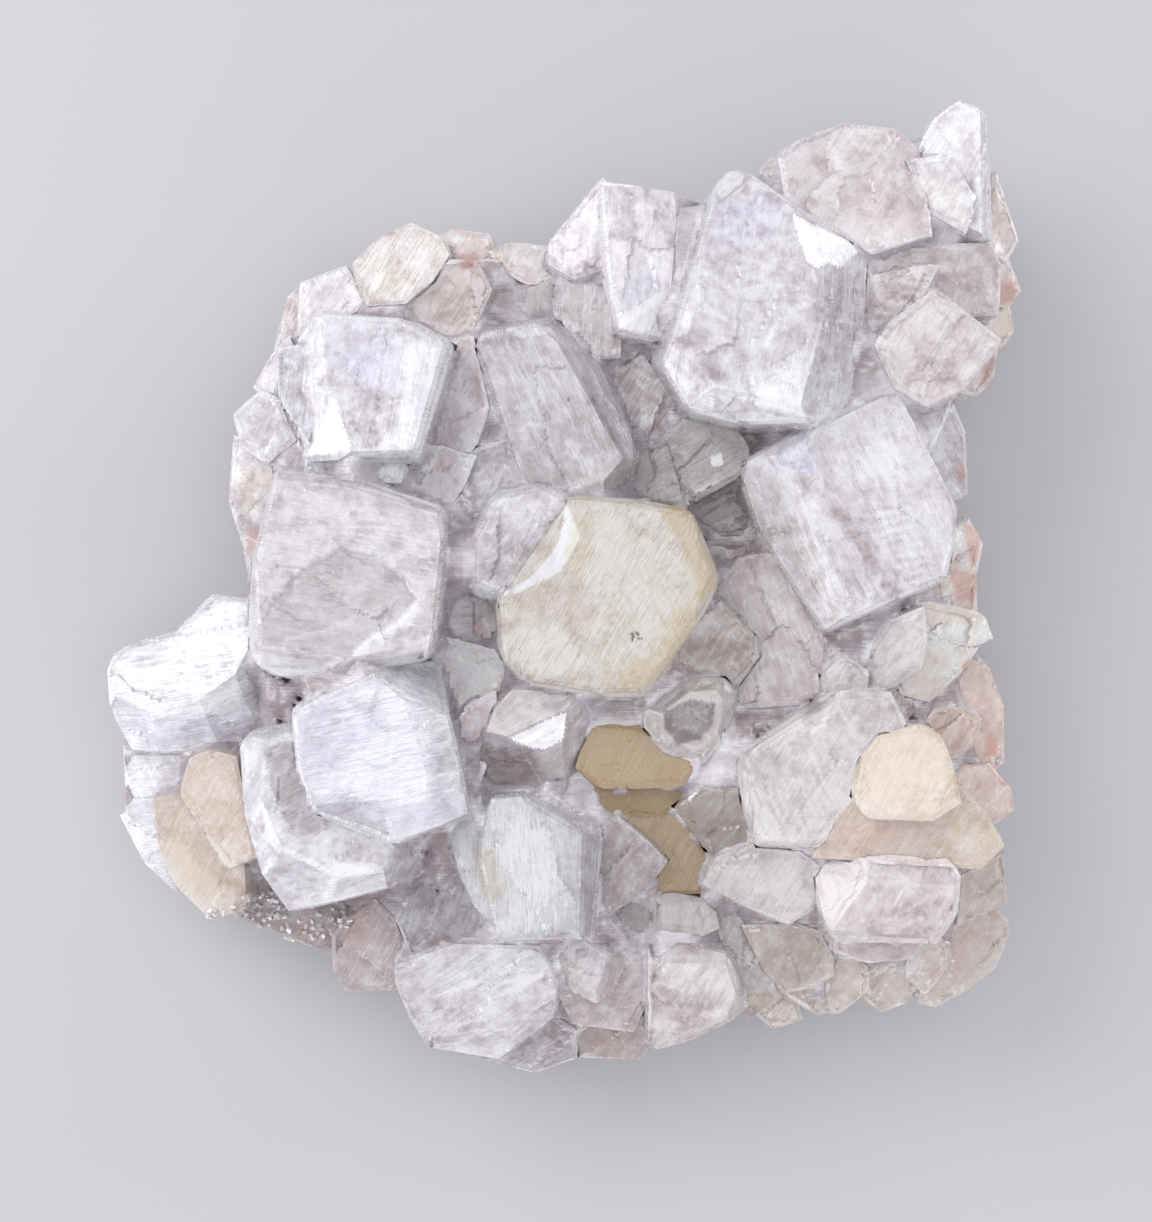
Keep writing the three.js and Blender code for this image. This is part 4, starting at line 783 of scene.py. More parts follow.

# What is drawn on each piece: a mark's shape, its layer, its amount and its options, then the
# pixels of the photograph that its line or outline passes through.
# patch: softness and raggedness in mm. stroke: width in mm, how broken.
# hatch: angle, spacing in mm, how broken.
# White marks are partly milky colour and partly painted highlights and lamp reflections; deep marks are
# partly darker colour and clear depths, and partly painted shade on shadowed sides and in crevices
MARKS = {
    "upper_right_block": """
        all lilac .15
        patch white 1 .25 .2 | 791,213 865,244 845,262 838,268 828,262 818,268 808,262 800,240
        patch white .85 .3 .3 | 697,206 722,180 735,170 745,175 742,184 722,198 700,208
        patch lilac .6 3 .5 | 715,205 780,200 770,235 720,245
        patch deep .35 3 1 | 655,335 700,340 722,380 690,405 665,385 650,350
        patch deep .3 2 .8 | 815,290 862,270 858,340 835,415 805,415 815,350
        stroke white .8 .7 0 | 778,318 766,345
        stroke white .5 .4 .3 | 800,312 832,290 862,262
        stroke white .55 .6 .2 | 660,372 690,392 735,395 762,402 812,418
        patch white .3 3 1 | 715,345 770,345 800,400 735,398
        patch white .5 1 .5 | 757,390 775,388 778,400 762,402
        hatch white .35 74 1.0 .2 | 790,340 840,300 835,410 800,412
        hatch white .3 -40 1.3 .3 | 690,260 760,290 740,350 680,330
    """,
    "upper_middle_block": """
        all pink .05
        hatch white .4 84 1 .2 | 580,200 660,200 660,300 590,300
        hatch deep .35 84 1.3 .3 | 580,200 670,200 670,300 590,300
        patch white 1 .25 .2 | 671,283 680,322 665,336 620,328 616,315 640,305
        patch lilac .7 2 .6 | 628,272 660,275 662,290 640,308 622,303
        stroke white .5 .6 .2 | 668,212 678,240 674,285
        patch deep .55 .6 .4 | 580,262 606,266 592,280
        stroke white .7 .5 0 | 606,268 614,290 616,318
        patch white .25 3 1 | 590,195 640,190 650,230 590,240
    """,
    "fibrous_crystal": """
        hatch white .7 86 1.0 .2 | 562,270 612,262 616,345 575,345
        patch deep .5 1 .5 | 612,335 650,338 640,365 600,370
    """,
    "upper_right_mass": """
        all pink .1
        patch white .35 3 .8 | 770,175 790,150 800,150 790,175
        stroke white .7 .9 .2 | 833,152 838,168
        stroke white .6 .7 .2 | 884,152 898,138
        patch deep .3 3 1 | 800,215 880,228 930,205 900,185 850,195
        patch pink .15 3 1 | 870,170 930,215 900,240 850,215
    """,
    "right_light_block": """
        all pink .08
        stroke white .7 .7 .1 | 868,258 900,252 932,243
        hatch brown .35 65 1.0 .1 | 872,265 905,258 905,275 870,285
        patch deep .35 .6 .4 | 868,300 885,272 925,268 935,278 905,310 882,342 862,335 858,318
        hatch white 1 -12 1.3 -.2 | 868,300 885,272 925,268 935,278 905,310 882,342 862,335 858,318
        stroke white .8 .7 0 | 858,336 884,344
        stroke white .6 .5 .2 | 935,278 1003,345
        stroke white .4 .5 .2 | 905,310 935,278
        patch deep .3 2.5 .8 | 930,340 975,345 960,385 915,380
        hatch deep .3 30 1.0 .3 | 915,350 985,345 960,395 900,390
    """,
    "upper_right_tip_crystal": """
        patch warm .18 1.5 .8 | 905,175 960,185 970,235 930,215
        patch white .45 .6 .5 | 905,175 960,185 972,235 930,215
        stroke white .5 .5 .2 | 975,110 977,190 985,240
        patch white .3 2 1 | 915,140 950,120 965,150 930,165
    """,
    "upper_right_edge_crystals": """
        all white .15
        patch pink .8 .8 .5 | 992,285 1018,280 1016,300 1000,306
        patch pink .6 .8 .5 | 985,365 1002,355 995,385 980,385
        patch warm .25 1 .5 | 1000,300 1020,310 1015,345 998,335
    """,
    "dark_crevice_crystal": """
        all deep .5
        all pink .15
        patch brown .35 1 .6 | 850,370 868,365 862,395 848,395
    """,
    "right_block": """
        patch lilac .9 .3 .2 | 768,472 778,440 810,425 815,475
        patch deep .25 1 .8 | 775,465 790,448 800,462
        stroke white .6 .5 .1 | 768,474 815,476
        patch deep .3 2 .8 | 748,480 785,485 835,610 800,600 765,540
        stroke deep .45 1.8 0 | 800,478 845,520 895,598
        stroke white .5 .7 .3 | 790,480 825,515 850,545
        hatch white .9 12 1.1 0 | 862,515 905,495 930,560 935,590 905,602 885,570
        patch white .4 3 1 | 838,440 890,440 915,480 860,500
        patch white .5 1 .6 | 880,440 895,440 900,460 885,458
        stroke white .5 .4 .2 | 835,630 952,580
        patch white .4 3 1 | 840,590 880,590 880,615 845,625
        hatch white .4 -58 1.2 .2 | 780,490 850,520 880,600 820,610
        stroke white .7 .8 .2 | 920,500 935,515
        patch white .8 .6 .5 | 925,430 945,430 948,460 930,465
        patch pink .5 1 .5 | 955,468 970,462 972,505 960,500
        patch deep .2 1.5 .8 | 905,420 925,400 935,450 912,450
        stroke white .5 .5 0 | 940,420 962,398
    """,
    "right_edge_crystals": """
        all warm .14
        all pink .05
        all white .15
        hatch white .6 60 1 .2 | 940,520 990,520 990,600 940,600
        patch white .8 .5 .4 | 955,545 970,525 978,530 968,560
        patch pink .75 .7 .5 | 965,525 985,525 982,560 972,565
        patch pink .7 .8 .5 | 950,570 978,575 975,605 958,600
        patch pink .9 .8 .5 | 960,660 985,658 985,685 965,685
        patch white .55 .6 .5 | 915,625 985,625 990,645 930,648
        patch white .5 .4 .3 | 890,600 925,598 920,606 895,606
    """,
    "right_lower_edge_crystals": """
        all pink .1
        all warm .12
        hatch white .6 50 1 .2 | 930,720 1010,720 1010,810 930,810
        patch deep .9 .3 .2 | 925,725 945,712 972,722 960,748 935,748
        patch pink .7 .8 .5 | 985,735 1000,740 998,760 985,755
        patch pink .7 .8 .5 | 995,765 1010,770 1008,785 1000,785
        stroke white .8 .8 .2 | 958,795 985,790 1012,810
        patch deep .5 .5 .4 | 955,790 975,775 985,785 965,795
    """,
    "upper_left_block": """
        all lilac .25
        patch white 1 .25 .15 | 333,398 308,457 353,450
        patch lilac .5 2 .5 | 335,350 400,340 395,400 345,375
        patch white .45 2 .6 | 398,340 440,345 415,395 400,400
        stroke white .6 .5 .1 | 310,318 345,318 400,320 425,325
        patch deep .25 1 .5 | 288,360 330,350 335,375 300,410
        patch deep .3 1.5 .8 | 340,385 395,385 400,430 370,450 350,415
        patch white .6 .8 .6 | 395,410 412,405 418,440 405,450
        stroke white .7 .5 .2 | 380,405 400,400 412,412 418,445
        patch white .35 2 .6 | 320,462 400,458 390,490 330,485
        hatch white .35 -35 1.0 .2 | 345,400 400,430 400,450 350,440
    """,
    "outer_left_crystals": """
        hatch white .6 60 1.1 .2 | 270,290 330,290 320,380 260,390
        hatch deep .5 -60 1.2 .3 | 235,440 290,420 290,560 235,560
        all white .1
        patch pink .3 1.5 .6 | 280,300 300,300 300,335 285,335
        patch white .6 .6 .5 | 262,385 275,390 270,405 258,400
        stroke white .7 .6 .1 | 275,415 298,445
        patch deep .2 2 .8 | 245,420 280,425 285,455 260,445
        patch warm .2 2 .6 | 240,465 270,470 255,520 238,500
        patch pink .5 1 .6 | 245,530 262,530 262,560 250,560
        patch pink .3 .8 .5 | 262,470 275,475 268,500
    """,
    "top_left_cream_crystal": """
        all lilac .45
        patch white .5 2 1 | 380,240 440,235 450,270 400,300 370,290
        patch white .5 1.5 .6 | 360,260 385,245 385,280 365,290
    """,
    "top_middle_crystals": """
        hatch white .8 60 1.1 .2 | 500,250 560,250 560,330 520,330
        hatch deep .7 -70 1.2 .2 | 500,290 600,290 600,340 480,340
        stroke white .8 .5 .1 | 500,285 530,300 545,325
        stroke white .7 .4 .1 | 560,270 566,300 570,340
        patch pink .8 .8 .5 | 455,255 475,252 478,268 462,270
        patch brown .3 .5 .4 | 462,258 474,262 470,270
        patch deep .3 2 .8 | 430,290 480,290 470,330 425,320
        patch white .8 .4 .3 | 448,235 495,237 495,245 452,243
        patch white .6 .5 .4 | 500,248 550,250 545,268 510,262
        stroke white .5 .4 .2 | 440,322 462,340
    """,
    "centre_left_block": """
        hatch white .5 -68 1.2 .1 | 485,345 560,335 580,420 610,470 530,480
        patch white .8 .3 .3 | 500,330 540,325 555,335 520,338
        patch white .35 2 1 | 495,350 550,345 570,420 525,440
        patch deep .35 1.5 .8 | 560,400 600,400 620,460 580,440
        stroke brown .7 .35 .1 | 558,395 575,403 590,403 598,394
        stroke deep .6 .5 .2 | 575,340 590,370 612,410
        stroke white .6 .5 .2 | 585,400 610,440 625,460
        patch white .9 .5 .6 | 565,440 580,445 578,460 568,458
        patch white .7 .5 .5 | 580,455 592,460 590,475 580,472
        patch white .5 .6 .4 | 540,488 580,492 625,468 610,470 575,480
    """,
    "pointed_grey_crystal": """
        all deep .2
        stroke white .8 .6 .3 | 460,345 460,400
        stroke white .7 .5 .2 | 478,390 495,420 500,440
        patch white .8 .4 .3 | 455,395 465,395 472,412 462,408
        patch white .8 .6 .5 | 462,435 478,438 475,450 465,448
        patch deep .4 1.5 .6 | 430,440 455,450 450,470 430,465
    """,
    "dark_upper_left_crystal": """
        patch pink .25 1.5 .6 | 430,450 455,455 450,470 430,468
        hatch white .3 -15 1.0 .2 | 410,470 470,475 455,505 405,495
    """,
    "centre_left_small_crystal": """
        patch white .95 .4 .6 | 458,478 466,480 475,505 470,515 462,500
        patch white .6 .8 1 | 475,475 505,465 510,500 495,520 475,512
        hatch white .6 40 .9 .3 | 455,450 510,445 515,515 465,515
        patch deep .25 2 .8 | 500,540 545,545 520,590 480,585
        stroke white .6 .5 .1 | 455,545 480,580 500,590
        patch white .3 2 1 | 515,500 555,500 545,530 515,530
        hatch white .25 60 1.0 .3 | 505,515 560,515 530,575 500,570
    """,
    "cream_centre_crystal": """
        patch white 1 .2 .2 | 566,505 572,515 580,538 560,572 520,592 505,596 540,568 558,545
        patch warm .6 1.2 1.6 | 655,505 690,510 700,540 720,575 715,600 700,590 680,550 660,520
        patch warm .5 1.6 1.8 | 640,660 690,600 700,600 690,640 660,690 620,690
        patch warm .35 1.5 1.5 | 575,515 600,520 590,560 575,575 565,545
        patch white .4 1.5 1.5 | 600,560 650,570 690,610 650,640 610,610
        hatch warm .6 -65 .9 .2 | 640,560 700,590 690,650 650,690 600,680 610,620
        hatch deep .3 -62 .8 .2 | 600,540 660,540 690,590 640,620 600,600
        stroke white .7 .5 .2 | 505,660 535,684 600,692 645,694
        stroke warm .7 .8 .1 | 570,500 620,500 690,512
        patch white .9 1.5 1.2 | 510,625 560,620 585,660 570,675 530,672 505,645
        patch white .5 2 1 | 585,540 620,520 640,560 620,600 590,590
        patch deep .25 1.5 .8 | 575,505 600,510 600,530 580,535
        hatch deep .35 85 1.1 .2 | 505,655 580,665 575,680 525,678
        hatch white .7 20 1.2 .1 | 600,500 690,520 690,600 640,650 560,600 560,540
        hatch warm .3 -50 1.3 .2 | 600,560 700,540 700,620 640,680 610,640
        stroke brown 2 .3 0 | 632,633 634,637 632,640
        stroke brown 2 .3 0 | 636,632 638,634
        stroke brown 2 .25 0 | 639,639 641,638
        stroke brown 2 .25 0 | 615,655 618,653 621,652
        patch pink .15 3 1 | 540,580 600,590 590,620 540,615
    """,
    "veined_clear_crystal": """
        hatch deep .8 -40 1 .1 | 680,600 750,600 750,670 680,670
        stroke white .8 .35 0 | 700,612 725,628 742,645
        patch white .9 .6 .5 | 682,635 715,610 718,622 695,640
        stroke white .8 .35 .1 | 672,660 685,648 700,642 730,640
        stroke white .7 .3 .1 | 700,645 705,655 720,648 735,638
        stroke white .6 .3 .2 | 725,590 745,620 755,640
        patch deep .5 1 .5 | 690,645 740,635 745,660 715,665 690,655
    """,
    "ringed_crystal": """
        all warm .1
        all white .2
        all brown .06
        patch brown .42 .4 .2 | 664,711 690,700 716,703 712,725 700,739 677,745 665,728
        stroke white 1 .6 0 | 652,716 680,686 716,684 730,700 724,732 700,762 676,758 648,736 652,716
        stroke white 1.1 .7 0 | 660,710 690,696 720,699 718,728 702,745 674,751 660,730 660,710
        patch clear 1 .2 .2 | 662,708 690,697 718,700 715,725 700,742 675,748 662,728
        patch deep 1.5 .4 .2 | 664,711 690,700 716,703 712,725 700,739 677,745 665,728
        patch white -.4 .4 .2 | 664,711 690,700 716,703 712,725 700,739 677,745 665,728
        stroke white 1.3 .35 0 | 672,720 682,714 692,708 700,715 706,722
        stroke white 1.2 .35 0 | 670,738 680,728 692,726 702,734
        stroke white 1 .3 0 | 690,708 688,718 692,726
        stroke white .8 .5 .1 | 678,680 700,665 722,668 732,680 725,690
    """,
    "right_centre_prisms": """
        hatch white .45 -70 1.1 .2 | 740,560 790,560 825,690 745,700
        patch deep .35 2 .8 | 740,530 800,560 790,580 745,575
        patch white .3 2 1 | 745,600 800,600 815,680 745,690
        stroke white .6 .4 .2 | 775,655 795,665
        patch brown .2 1 .6 | 720,520 760,535 750,560 715,560
    """,
    "crevice_crystals": """
        hatch white .5 85 1.0 .2 | 625,450 680,445 685,500 630,500
        hatch white .9 25 .9 .1 | 685,430 745,430 740,480 700,495 690,470
        patch white 1 .4 .4 | 708,455 722,450 724,465 712,468
        stroke white .9 .8 0 | 695,492 718,478
        patch deep .7 1.5 .6 | 690,495 750,470 755,530 720,535 695,520
        patch brown .9 .4 .3 | 738,420 765,420 758,430 742,430
        stroke white .4 .4 .2 | 745,440 800,425
    """,
    "striped_dark_crystal": """
        all deep .3
        patch deep .4 2 .6 | 615,370 640,360 690,420 660,440
        hatch white .9 -35 1.2 .1 | 628,365 650,358 672,385 668,410 640,410 632,385
        patch white .7 .6 .5 | 640,405 660,405 655,425 640,425
        stroke brown .8 .5 0 | 620,366 635,358 645,348
        stroke white .5 .5 .1 | 605,350 625,400 640,445
        patch white .8 .5 .5 | 632,352 648,352 642,362 632,362
    """,
    "left_block": """
        all pink .04
        patch clear 1 .3 .6 | 300,572 345,548 375,552 405,580 418,600 410,612 370,640 345,660 250,640 \
            275,600
        stroke white .6 .4 .1 | 262,625 290,600 300,575
        stroke white .7 .4 .1 | 285,640 330,630 365,612 395,600
        stroke white .5 .35 .2 | 310,600 340,585 370,590
        patch rise -.35 .8 .5 | 300,572 345,548 375,552 405,580 418,600 410,612 370,640 345,660 250,640 \
            275,600
        patch white .6 .8 .8 | 350,548 375,545 398,560 395,575 375,562
        stroke white .6 .5 .2 | 345,598 365,583 395,590 403,606
        stroke white .6 .5 .2 | 296,570 297,600 285,615
        stroke deep .5 .8 .2 | 290,572 290,600 282,612
        stroke white .9 1.6 .1 | 415,608 400,620 380,640 360,655
        patch white .8 .6 .5 | 395,612 415,612 415,625 395,630
        stroke white .5 .5 .2 | 285,640 330,630
        stroke white .5 .4 .2 | 345,625 350,645
        stroke white 1 .9 .1 | 252,660 262,673 320,672 345,655
        patch white .7 .6 .5 | 252,655 275,652 280,670 262,672
        patch deep .5 .4 .3 | 250,642 262,642 262,652 252,652
        hatch white .35 20 1.2 .3 | 262,530 310,530 300,600 258,600
        patch white .2 4 1 | 280,485 430,520 430,545 285,540
        patch white .25 2 1 | 400,550 440,530 430,640 415,600
    """,
    "striated_left_block": """
        hatch white .7 12 1.0 .1 | 300,705 370,680 420,690 440,800 350,820 310,790
        patch white .4 2 .8 | 330,700 400,680 430,760 420,800 340,790
        hatch brown .35 12 1.1 .45 | 300,720 380,700 400,730 310,760
        hatch deep .4 95 1.6 .5 | 320,700 400,680 410,720 320,730
        patch deep .25 .8 .5 | 312,808 345,800 380,802 392,838 325,842
        patch rise -.4 .5 .5 | 312,808 345,800 380,802 392,838 325,842
        stroke white .7 .5 .1 | 312,810 330,803 375,798 385,808 395,838
        patch deep .3 1.5 .6 | 425,700 440,720 462,820 445,825 430,760
        patch lilac .5 4 1 | 300,700 420,690 440,820 310,810
        stroke white .4 .5 .2 | 425,690 445,760 462,815
        patch lilac .5 4 1 | 330,690 410,690 430,790 340,790
    """,
    "lower_left_block": """
        all lilac .2
        patch clear 1 .4 .5 | 262,745 300,740 318,790 330,830 290,830 270,790
        patch deep .8 .8 .6 | 262,745 300,740 318,790 330,830 290,830 270,790
        hatch white .7 75 1 .2 | 262,745 300,740 318,790 330,830 290,830 270,790
        patch brown .14 1.5 .8 | 272,760 305,755 318,800 290,805
        stroke white .7 .8 .3 | 265,790 272,820 285,840
        stroke white 1 1.0 .1 | 285,850 310,862 338,880 372,872
        patch white .8 .6 .5 | 320,858 372,866 365,878 340,882
        patch deep .4 .6 .5 | 325,852 360,852 385,865 340,862
        hatch white .6 60 .9 .3 | 290,790 315,800 315,835 290,825
        hatch white .3 20 1.2 .3 | 285,885 400,860 380,900 290,905
    """,
    "far_left_crystal": """
        hatch deep .9 7 .9 .1 | 125,655 175,640 240,655 215,700 150,710 128,690
        hatch white .8 7 1.1 0 | 118,650 175,645 240,655 215,700 150,715 125,690
        patch white .3 1.2 .5 | 125,655 240,600 245,650 205,705 160,713 125,680
        patch white .5 .8 .4 | 215,600 245,610 245,655 180,645
        stroke white .7 .6 0 | 165,713 205,708 245,680
        patch lilac .25 2 .5 | 130,720 245,700 270,740 140,750
        hatch white .8 -60 1.1 .1 | 135,765 175,765 170,795 140,795
    """,
    "left_stilbite_sheaf": """
        all lilac .2
        patch warm .1 2 .6 | 190,765 240,765 245,850 210,830 185,800
        hatch white .5 -55 1.2 .2 | 165,790 245,770 250,880 180,880
        patch white .6 1.2 1.2 | 150,860 200,870 240,890 260,905 200,915 170,900
        patch white .8 .8 1 | 140,845 175,840 200,870 190,890 160,880
        stroke white .85 1.6 .3 | 183,815 215,845 240,870 265,900
        stroke white .6 1.2 .4 | 195,905 225,915 260,905
        patch white .3 1 .8 | 175,765 215,760 225,790 190,800
        patch warm .25 2 .6 | 165,800 185,815 220,890 200,900 170,850
    """,
    "upper_centre_stilbite_sheaf": """
        all warm 1
        all brown .04
        hatch white .5 20 .8 .2 | 590,745 680,745 680,800 600,800
        patch warm .3 1 .5 | 585,735 650,730 680,760 600,785
        patch white .6 .8 .6 | 655,765 680,755 685,780 660,790
        hatch white .8 -30 1.0 .3 | 585,740 640,735 685,760 670,800 620,800 595,775
    """,
    "lower_centre_stilbite_sheaf": """
        all warm 1
        all brown .1
        hatch white .7 60 1.0 .35 | 610,790 670,785 640,820 610,810
        stroke white .4 1.2 .3 | 655,815 650,850
    """,
    "small_clear_crystal": """
        all warm .06
        all deep .2
        hatch deep .7 45 1.1 .1 | 690,795 745,790 740,850 705,845
        stroke white 1 .4 .1 | 688,800 712,790 738,796
        patch white 1 .3 .3 | 680,785 700,770 705,780 695,795 685,793
        patch white 1 .3 .3 | 690,768 705,755 722,750 715,765 700,772
        patch deep .5 1 .5 | 700,775 725,760 735,790 715,795
        patch white .5 1 .6 | 690,800 740,800 730,815 700,812
        hatch white .5 50 1.0 .3 | 690,800 745,795 740,850 710,845
    """,
    "lower_right_block": """
        all warm .07
        patch white .3 3 1 | 750,740 850,700 870,740 800,780
        hatch white 1.3 -65 1 .1 | 740,790 800,780 835,800 800,840 745,840
        hatch white .9 -65 1.1 .2 | 800,710 850,705 850,800 805,800
        hatch deep .6 -65 1.3 .2 | 745,730 850,700 850,810 750,830
        stroke white .8 .5 .1 | 742,770 770,800 800,842
        patch white .55 1 .8 | 745,705 800,700 805,730 760,735
        patch brown .5 .5 .3 | 798,700 820,698 818,712 800,712
        patch deep .3 1.5 .6 | 780,755 800,750 800,775 785,775
        stroke white .6 .7 .2 | 738,765 755,800 790,848
        patch white .4 1.5 .6 | 745,790 790,845 760,845 740,810
        patch white .5 1 .6 | 825,665 850,662 848,690 828,690
        stroke white .8 1.0 0 | 890,672 915,655
        hatch white .6 50 1.0 .1 | 860,680 900,620 925,610 915,655 870,690
    """,
    "right_stilbite_sheaf": """
        patch warm .22 3 .8 | 860,760 900,735 940,735 955,780 900,800 860,800
        patch lilac .1 2 .8 | 815,815 960,815 985,860 815,860
        patch white .3 2.5 1 | 865,760 945,755 945,800 865,800
        hatch white .7 10 1.3 .35 | 860,755 945,755 945,805 865,805
        patch pink .25 3 .8 | 830,815 950,815 950,850 820,855
        hatch white .35 4 1.2 .2 | 830,820 960,815 980,850 820,855
        patch white .4 2 .8 | 955,800 990,830 975,860 955,850
        patch warm .4 1 .6 | 945,800 965,830 955,845
    """,
    "rounded_lower_right_crystal": """
        all pink .08
        patch lilac .6 .3 .2 | 820,872 868,883 850,905 832,928
        patch white .9 .25 .2 | 820,872 868,883 850,905 832,928
        patch deep .2 3 1 | 860,920 930,905 940,950 860,955
        hatch white .5 45 1.2 .3 | 860,940 930,950 880,970 850,960
    """,
    "lower_right_light_crystal": """
        all warm .06
        patch white .35 2 .8 | 720,870 800,860 812,900 790,915
        stroke white .6 .7 .2 | 765,915 812,915
        hatch white .4 20 1.1 .2 | 740,885 812,895 790,918 750,905
    """,
    "lower_right_edge_crystals": """
        all warm .1
        all white .12
        hatch deep .4 70 1.3 .3 | 750,930 840,930 840,1020 750,1020
        hatch white .4 -50 1.1 .3 | 840,940 1010,930 1000,1000 840,1000
        patch deep .3 2 .8 | 760,925 830,930 820,985 760,970
        stroke white .7 .7 .2 | 760,1020 800,1010 830,985
        hatch white .5 60 1.1 .2 | 800,985 830,985 835,1015 810,1015
        patch white .5 1 .6 | 905,945 925,940 920,975 905,970
        hatch white .5 60 1.0 .2 | 895,950 930,940 915,1000 900,995
        patch pink .2 3 1 | 930,930 1000,920 980,970 930,980
        stroke white .4 .5 .2 | 935,1000 990,985 1005,940
    """,
    "lower_centre_block": """
        patch white 1 .3 .15 | 508,738 567,712 563,740 545,748 530,748
        patch deep .5 1 .5 | 485,745 530,745 545,775 500,790
        patch brown .2 1 .8 | 488,750 520,750 515,775
        stroke white .6 .5 .2 | 487,770 505,790 535,810
        hatch deep .3 10 1.2 .2 | 495,700 560,695 510,730
        stroke white .4 .6 .1 | 570,700 575,760 600,800
        patch white .3 1 .5 | 568,705 585,700 600,800 580,770
    """,
    "dark_left_crystals": """
        all deep .15
        patch pink .7 1 .6 | 440,580 460,585 450,608 438,610
        patch pink .5 .8 .4 | 460,625 480,628 478,638 462,638
        hatch white .5 -40 1.1 .25 | 440,640 500,640 480,720 445,700
        stroke white .8 .4 .1 | 470,660 495,659
        stroke white .6 .4 .2 | 440,640 460,665 470,690
        patch brown .4 .8 .5 | 470,790 490,790 485,815 470,810
        stroke white .8 .5 .3 | 468,795 490,790
    """,
    "centre_bottom_block": """
        patch white .5 3 1 | 500,830 560,830 545,930 505,930
        hatch white .7 92 1.1 .1 | 500,840 580,835 570,930 500,930
        patch warm .4 2 .8 | 470,845 490,850 510,890 495,905 480,880
        patch white .5 1 .6 | 445,835 470,840 480,870 455,870
        patch deep .25 1 .5 | 575,840 598,830 598,930 575,935
        patch white .4 2 .8 | 490,800 540,810 550,835 495,830
        stroke white .5 .4 .1 | 495,838 575,832 600,822
        patch deep .4 .8 .5 | 540,930 560,925 575,940 545,942
    """,
    "dark_striated_crystal": """
        all deep .2
        hatch white .95 45 1.1 .1 | 605,840 630,830 660,860 620,905 600,900
        hatch deep .5 55 1.3 .2 | 605,840 650,850 600,915
    """,
    "purple_grey_crystal": """
        all deep .25
        all lilac .3
        hatch deep .4 70 1.0 .1 | 430,890 470,870 490,930 430,935
        hatch white .3 70 1.2 .2 | 430,890 470,870 490,930 430,935
    """,
    "lower_left_edge_crystal": """
        all deep .15
        patch pink .25 2 .8 | 345,900 380,905 370,950 345,950
        patch pink .4 1 .6 | 235,905 330,930 335,945 280,930
        hatch white .4 50 1.1 .3 | 345,930 400,920 400,985 345,985
        patch white .3 1 .6 | 340,960 380,970 370,985 345,980
    """,
    "bottom_left_block": """
        patch white .35 3 1 | 420,960 500,950 540,980 450,1000
        hatch white .5 28 1.5 .2 | 410,960 540,950 550,1000 450,1030 420,1010
        stroke white .6 .7 .2 | 425,1000 470,985 540,975
        stroke white .5 .6 .2 | 440,1020 480,1010 520,990
        patch deep .35 1.5 .8 | 470,965 510,960 515,980 475,990
        stroke white .5 .7 .2 | 440,1040 500,1060 540,1068
        patch deep .2 2 .8 | 500,1010 560,1000 575,1050 520,1060
    """,
    "bottom_middle_crystals": """
        all warm .05
        patch lilac .9 .4 .2 | 568,950 580,938 610,955 600,985 585,985
        patch white .5 .4 .2 | 568,950 580,938 610,955 600,985 585,985
        stroke white .6 .6 .2 | 560,965 575,985
        hatch white .5 40 1.1 .3 | 560,960 600,990 570,1010 555,990
        patch white .4 1.5 .8 | 650,960 690,960 740,975 735,1000 680,1000
        hatch white .6 50 1.1 .25 | 660,970 740,965 730,1000 660,1005
        patch pink .2 2 .8 | 580,1025 640,1025 645,1055 580,1055
        stroke white .6 .5 .1 | 645,945 650,1000 655,1050
        patch deep .25 2 .8 | 670,1005 720,1000 700,1035 665,1040
        patch warm .3 1 .6 | 745,990 775,990 770,1015 750,1010
    """,
    "bright_striated_crystal": """
        all warm .16
        patch white .9 .5 .3 | 660,905 705,900 718,930 662,928
        hatch brown .5 -70 1.6 .35 | 665,902 715,902 715,930 665,930
    """,
}
SHAPES = {"all": Stone.all, "patch": Stone.patch, "stroke": Stone.stroke, "hatch": Stone.hatch}


def draw_marks(stone):
    """Draws a piece's own marks."""
    for line in MARKS.get(stone.node, "").strip().splitlines():
        words, _, pixels = line.partition("|")
        shape, layer, *numbers = words.split()
        options = [float(number) for number in numbers]
        if pixels:
            options.append(stone.under(pixels))
        SHAPES[shape](stone, layer, *options)


def dress_crystals():
    """Gives every crystal its fine mesh and its looks."""
    for node in frame["nodes"]:
        if node == "matrix":
            continue
        slot = SLOTS[node]
        smooth = slot in SMOOTH_SLOTS
        stone = Stone(node, GRAIN.get(node, USUAL_GRAIN))
        stone.cloud_body(*CHARACTERS[slot])
        stone.slabs(SMOOTH_SLABS if smooth else SLABS)
        draw_marks(stone)
        stone.shape(SMOOTH_STEPS if smooth else STEPS)
        stone.finish(slot, FINISHES[slot])


# Matrix: rough rock, with the small crystals of its own solid in the deepest gaps

def dress_matrix():
    """Roughens the plate and its rim crystals, rock below and grey crystal above."""
    stone = Stone("matrix", 30, MATRIX_STEPS)
    above = stone.points[:, 2] > MATRIX_TOP + 0.2 * MM
    stone.cloud_body(0.2, 0.2, 0.2, 0.1)
    move = np.where(above, 0.05, 0.35) * cloud(stone.points, 2.4 * MM, 50, 3) * MM
    moved = stone.points + stone.normals * move[:, None]
    stone.moved = np.clip(moved, np.array(CAD_BOX[0]), np.array(CAD_BOX[1]))
    stone.moved[:, 2] = np.where(stone.points[:, 2] < 0.01 * MM, 0, stone.moved[:, 2])
    piece = stone.finish("matrix", ROCK)
    piece.data.materials.append(FINISHES["grey_crystal"])
    standing = above[stone.corner].reshape(-1, 3).all(axis=1)
    piece.data.polygons.foreach_set("material_index", standing.astype(np.int32))


# Growth that fills the seams between the big crystals: a shell worked out on a grid of heights

SEAM_STEP = 0.5 * MM
ABOVE_ALL = 100 * MM
# Seams up to twice this many steps wide are bridged, and pits up to twice this many a little lower
SEAM_REACH = 4
PIT_REACH = 9
PIT_DEPTH = 0.9 * MM
PIT_FLOOR = 22 * MM
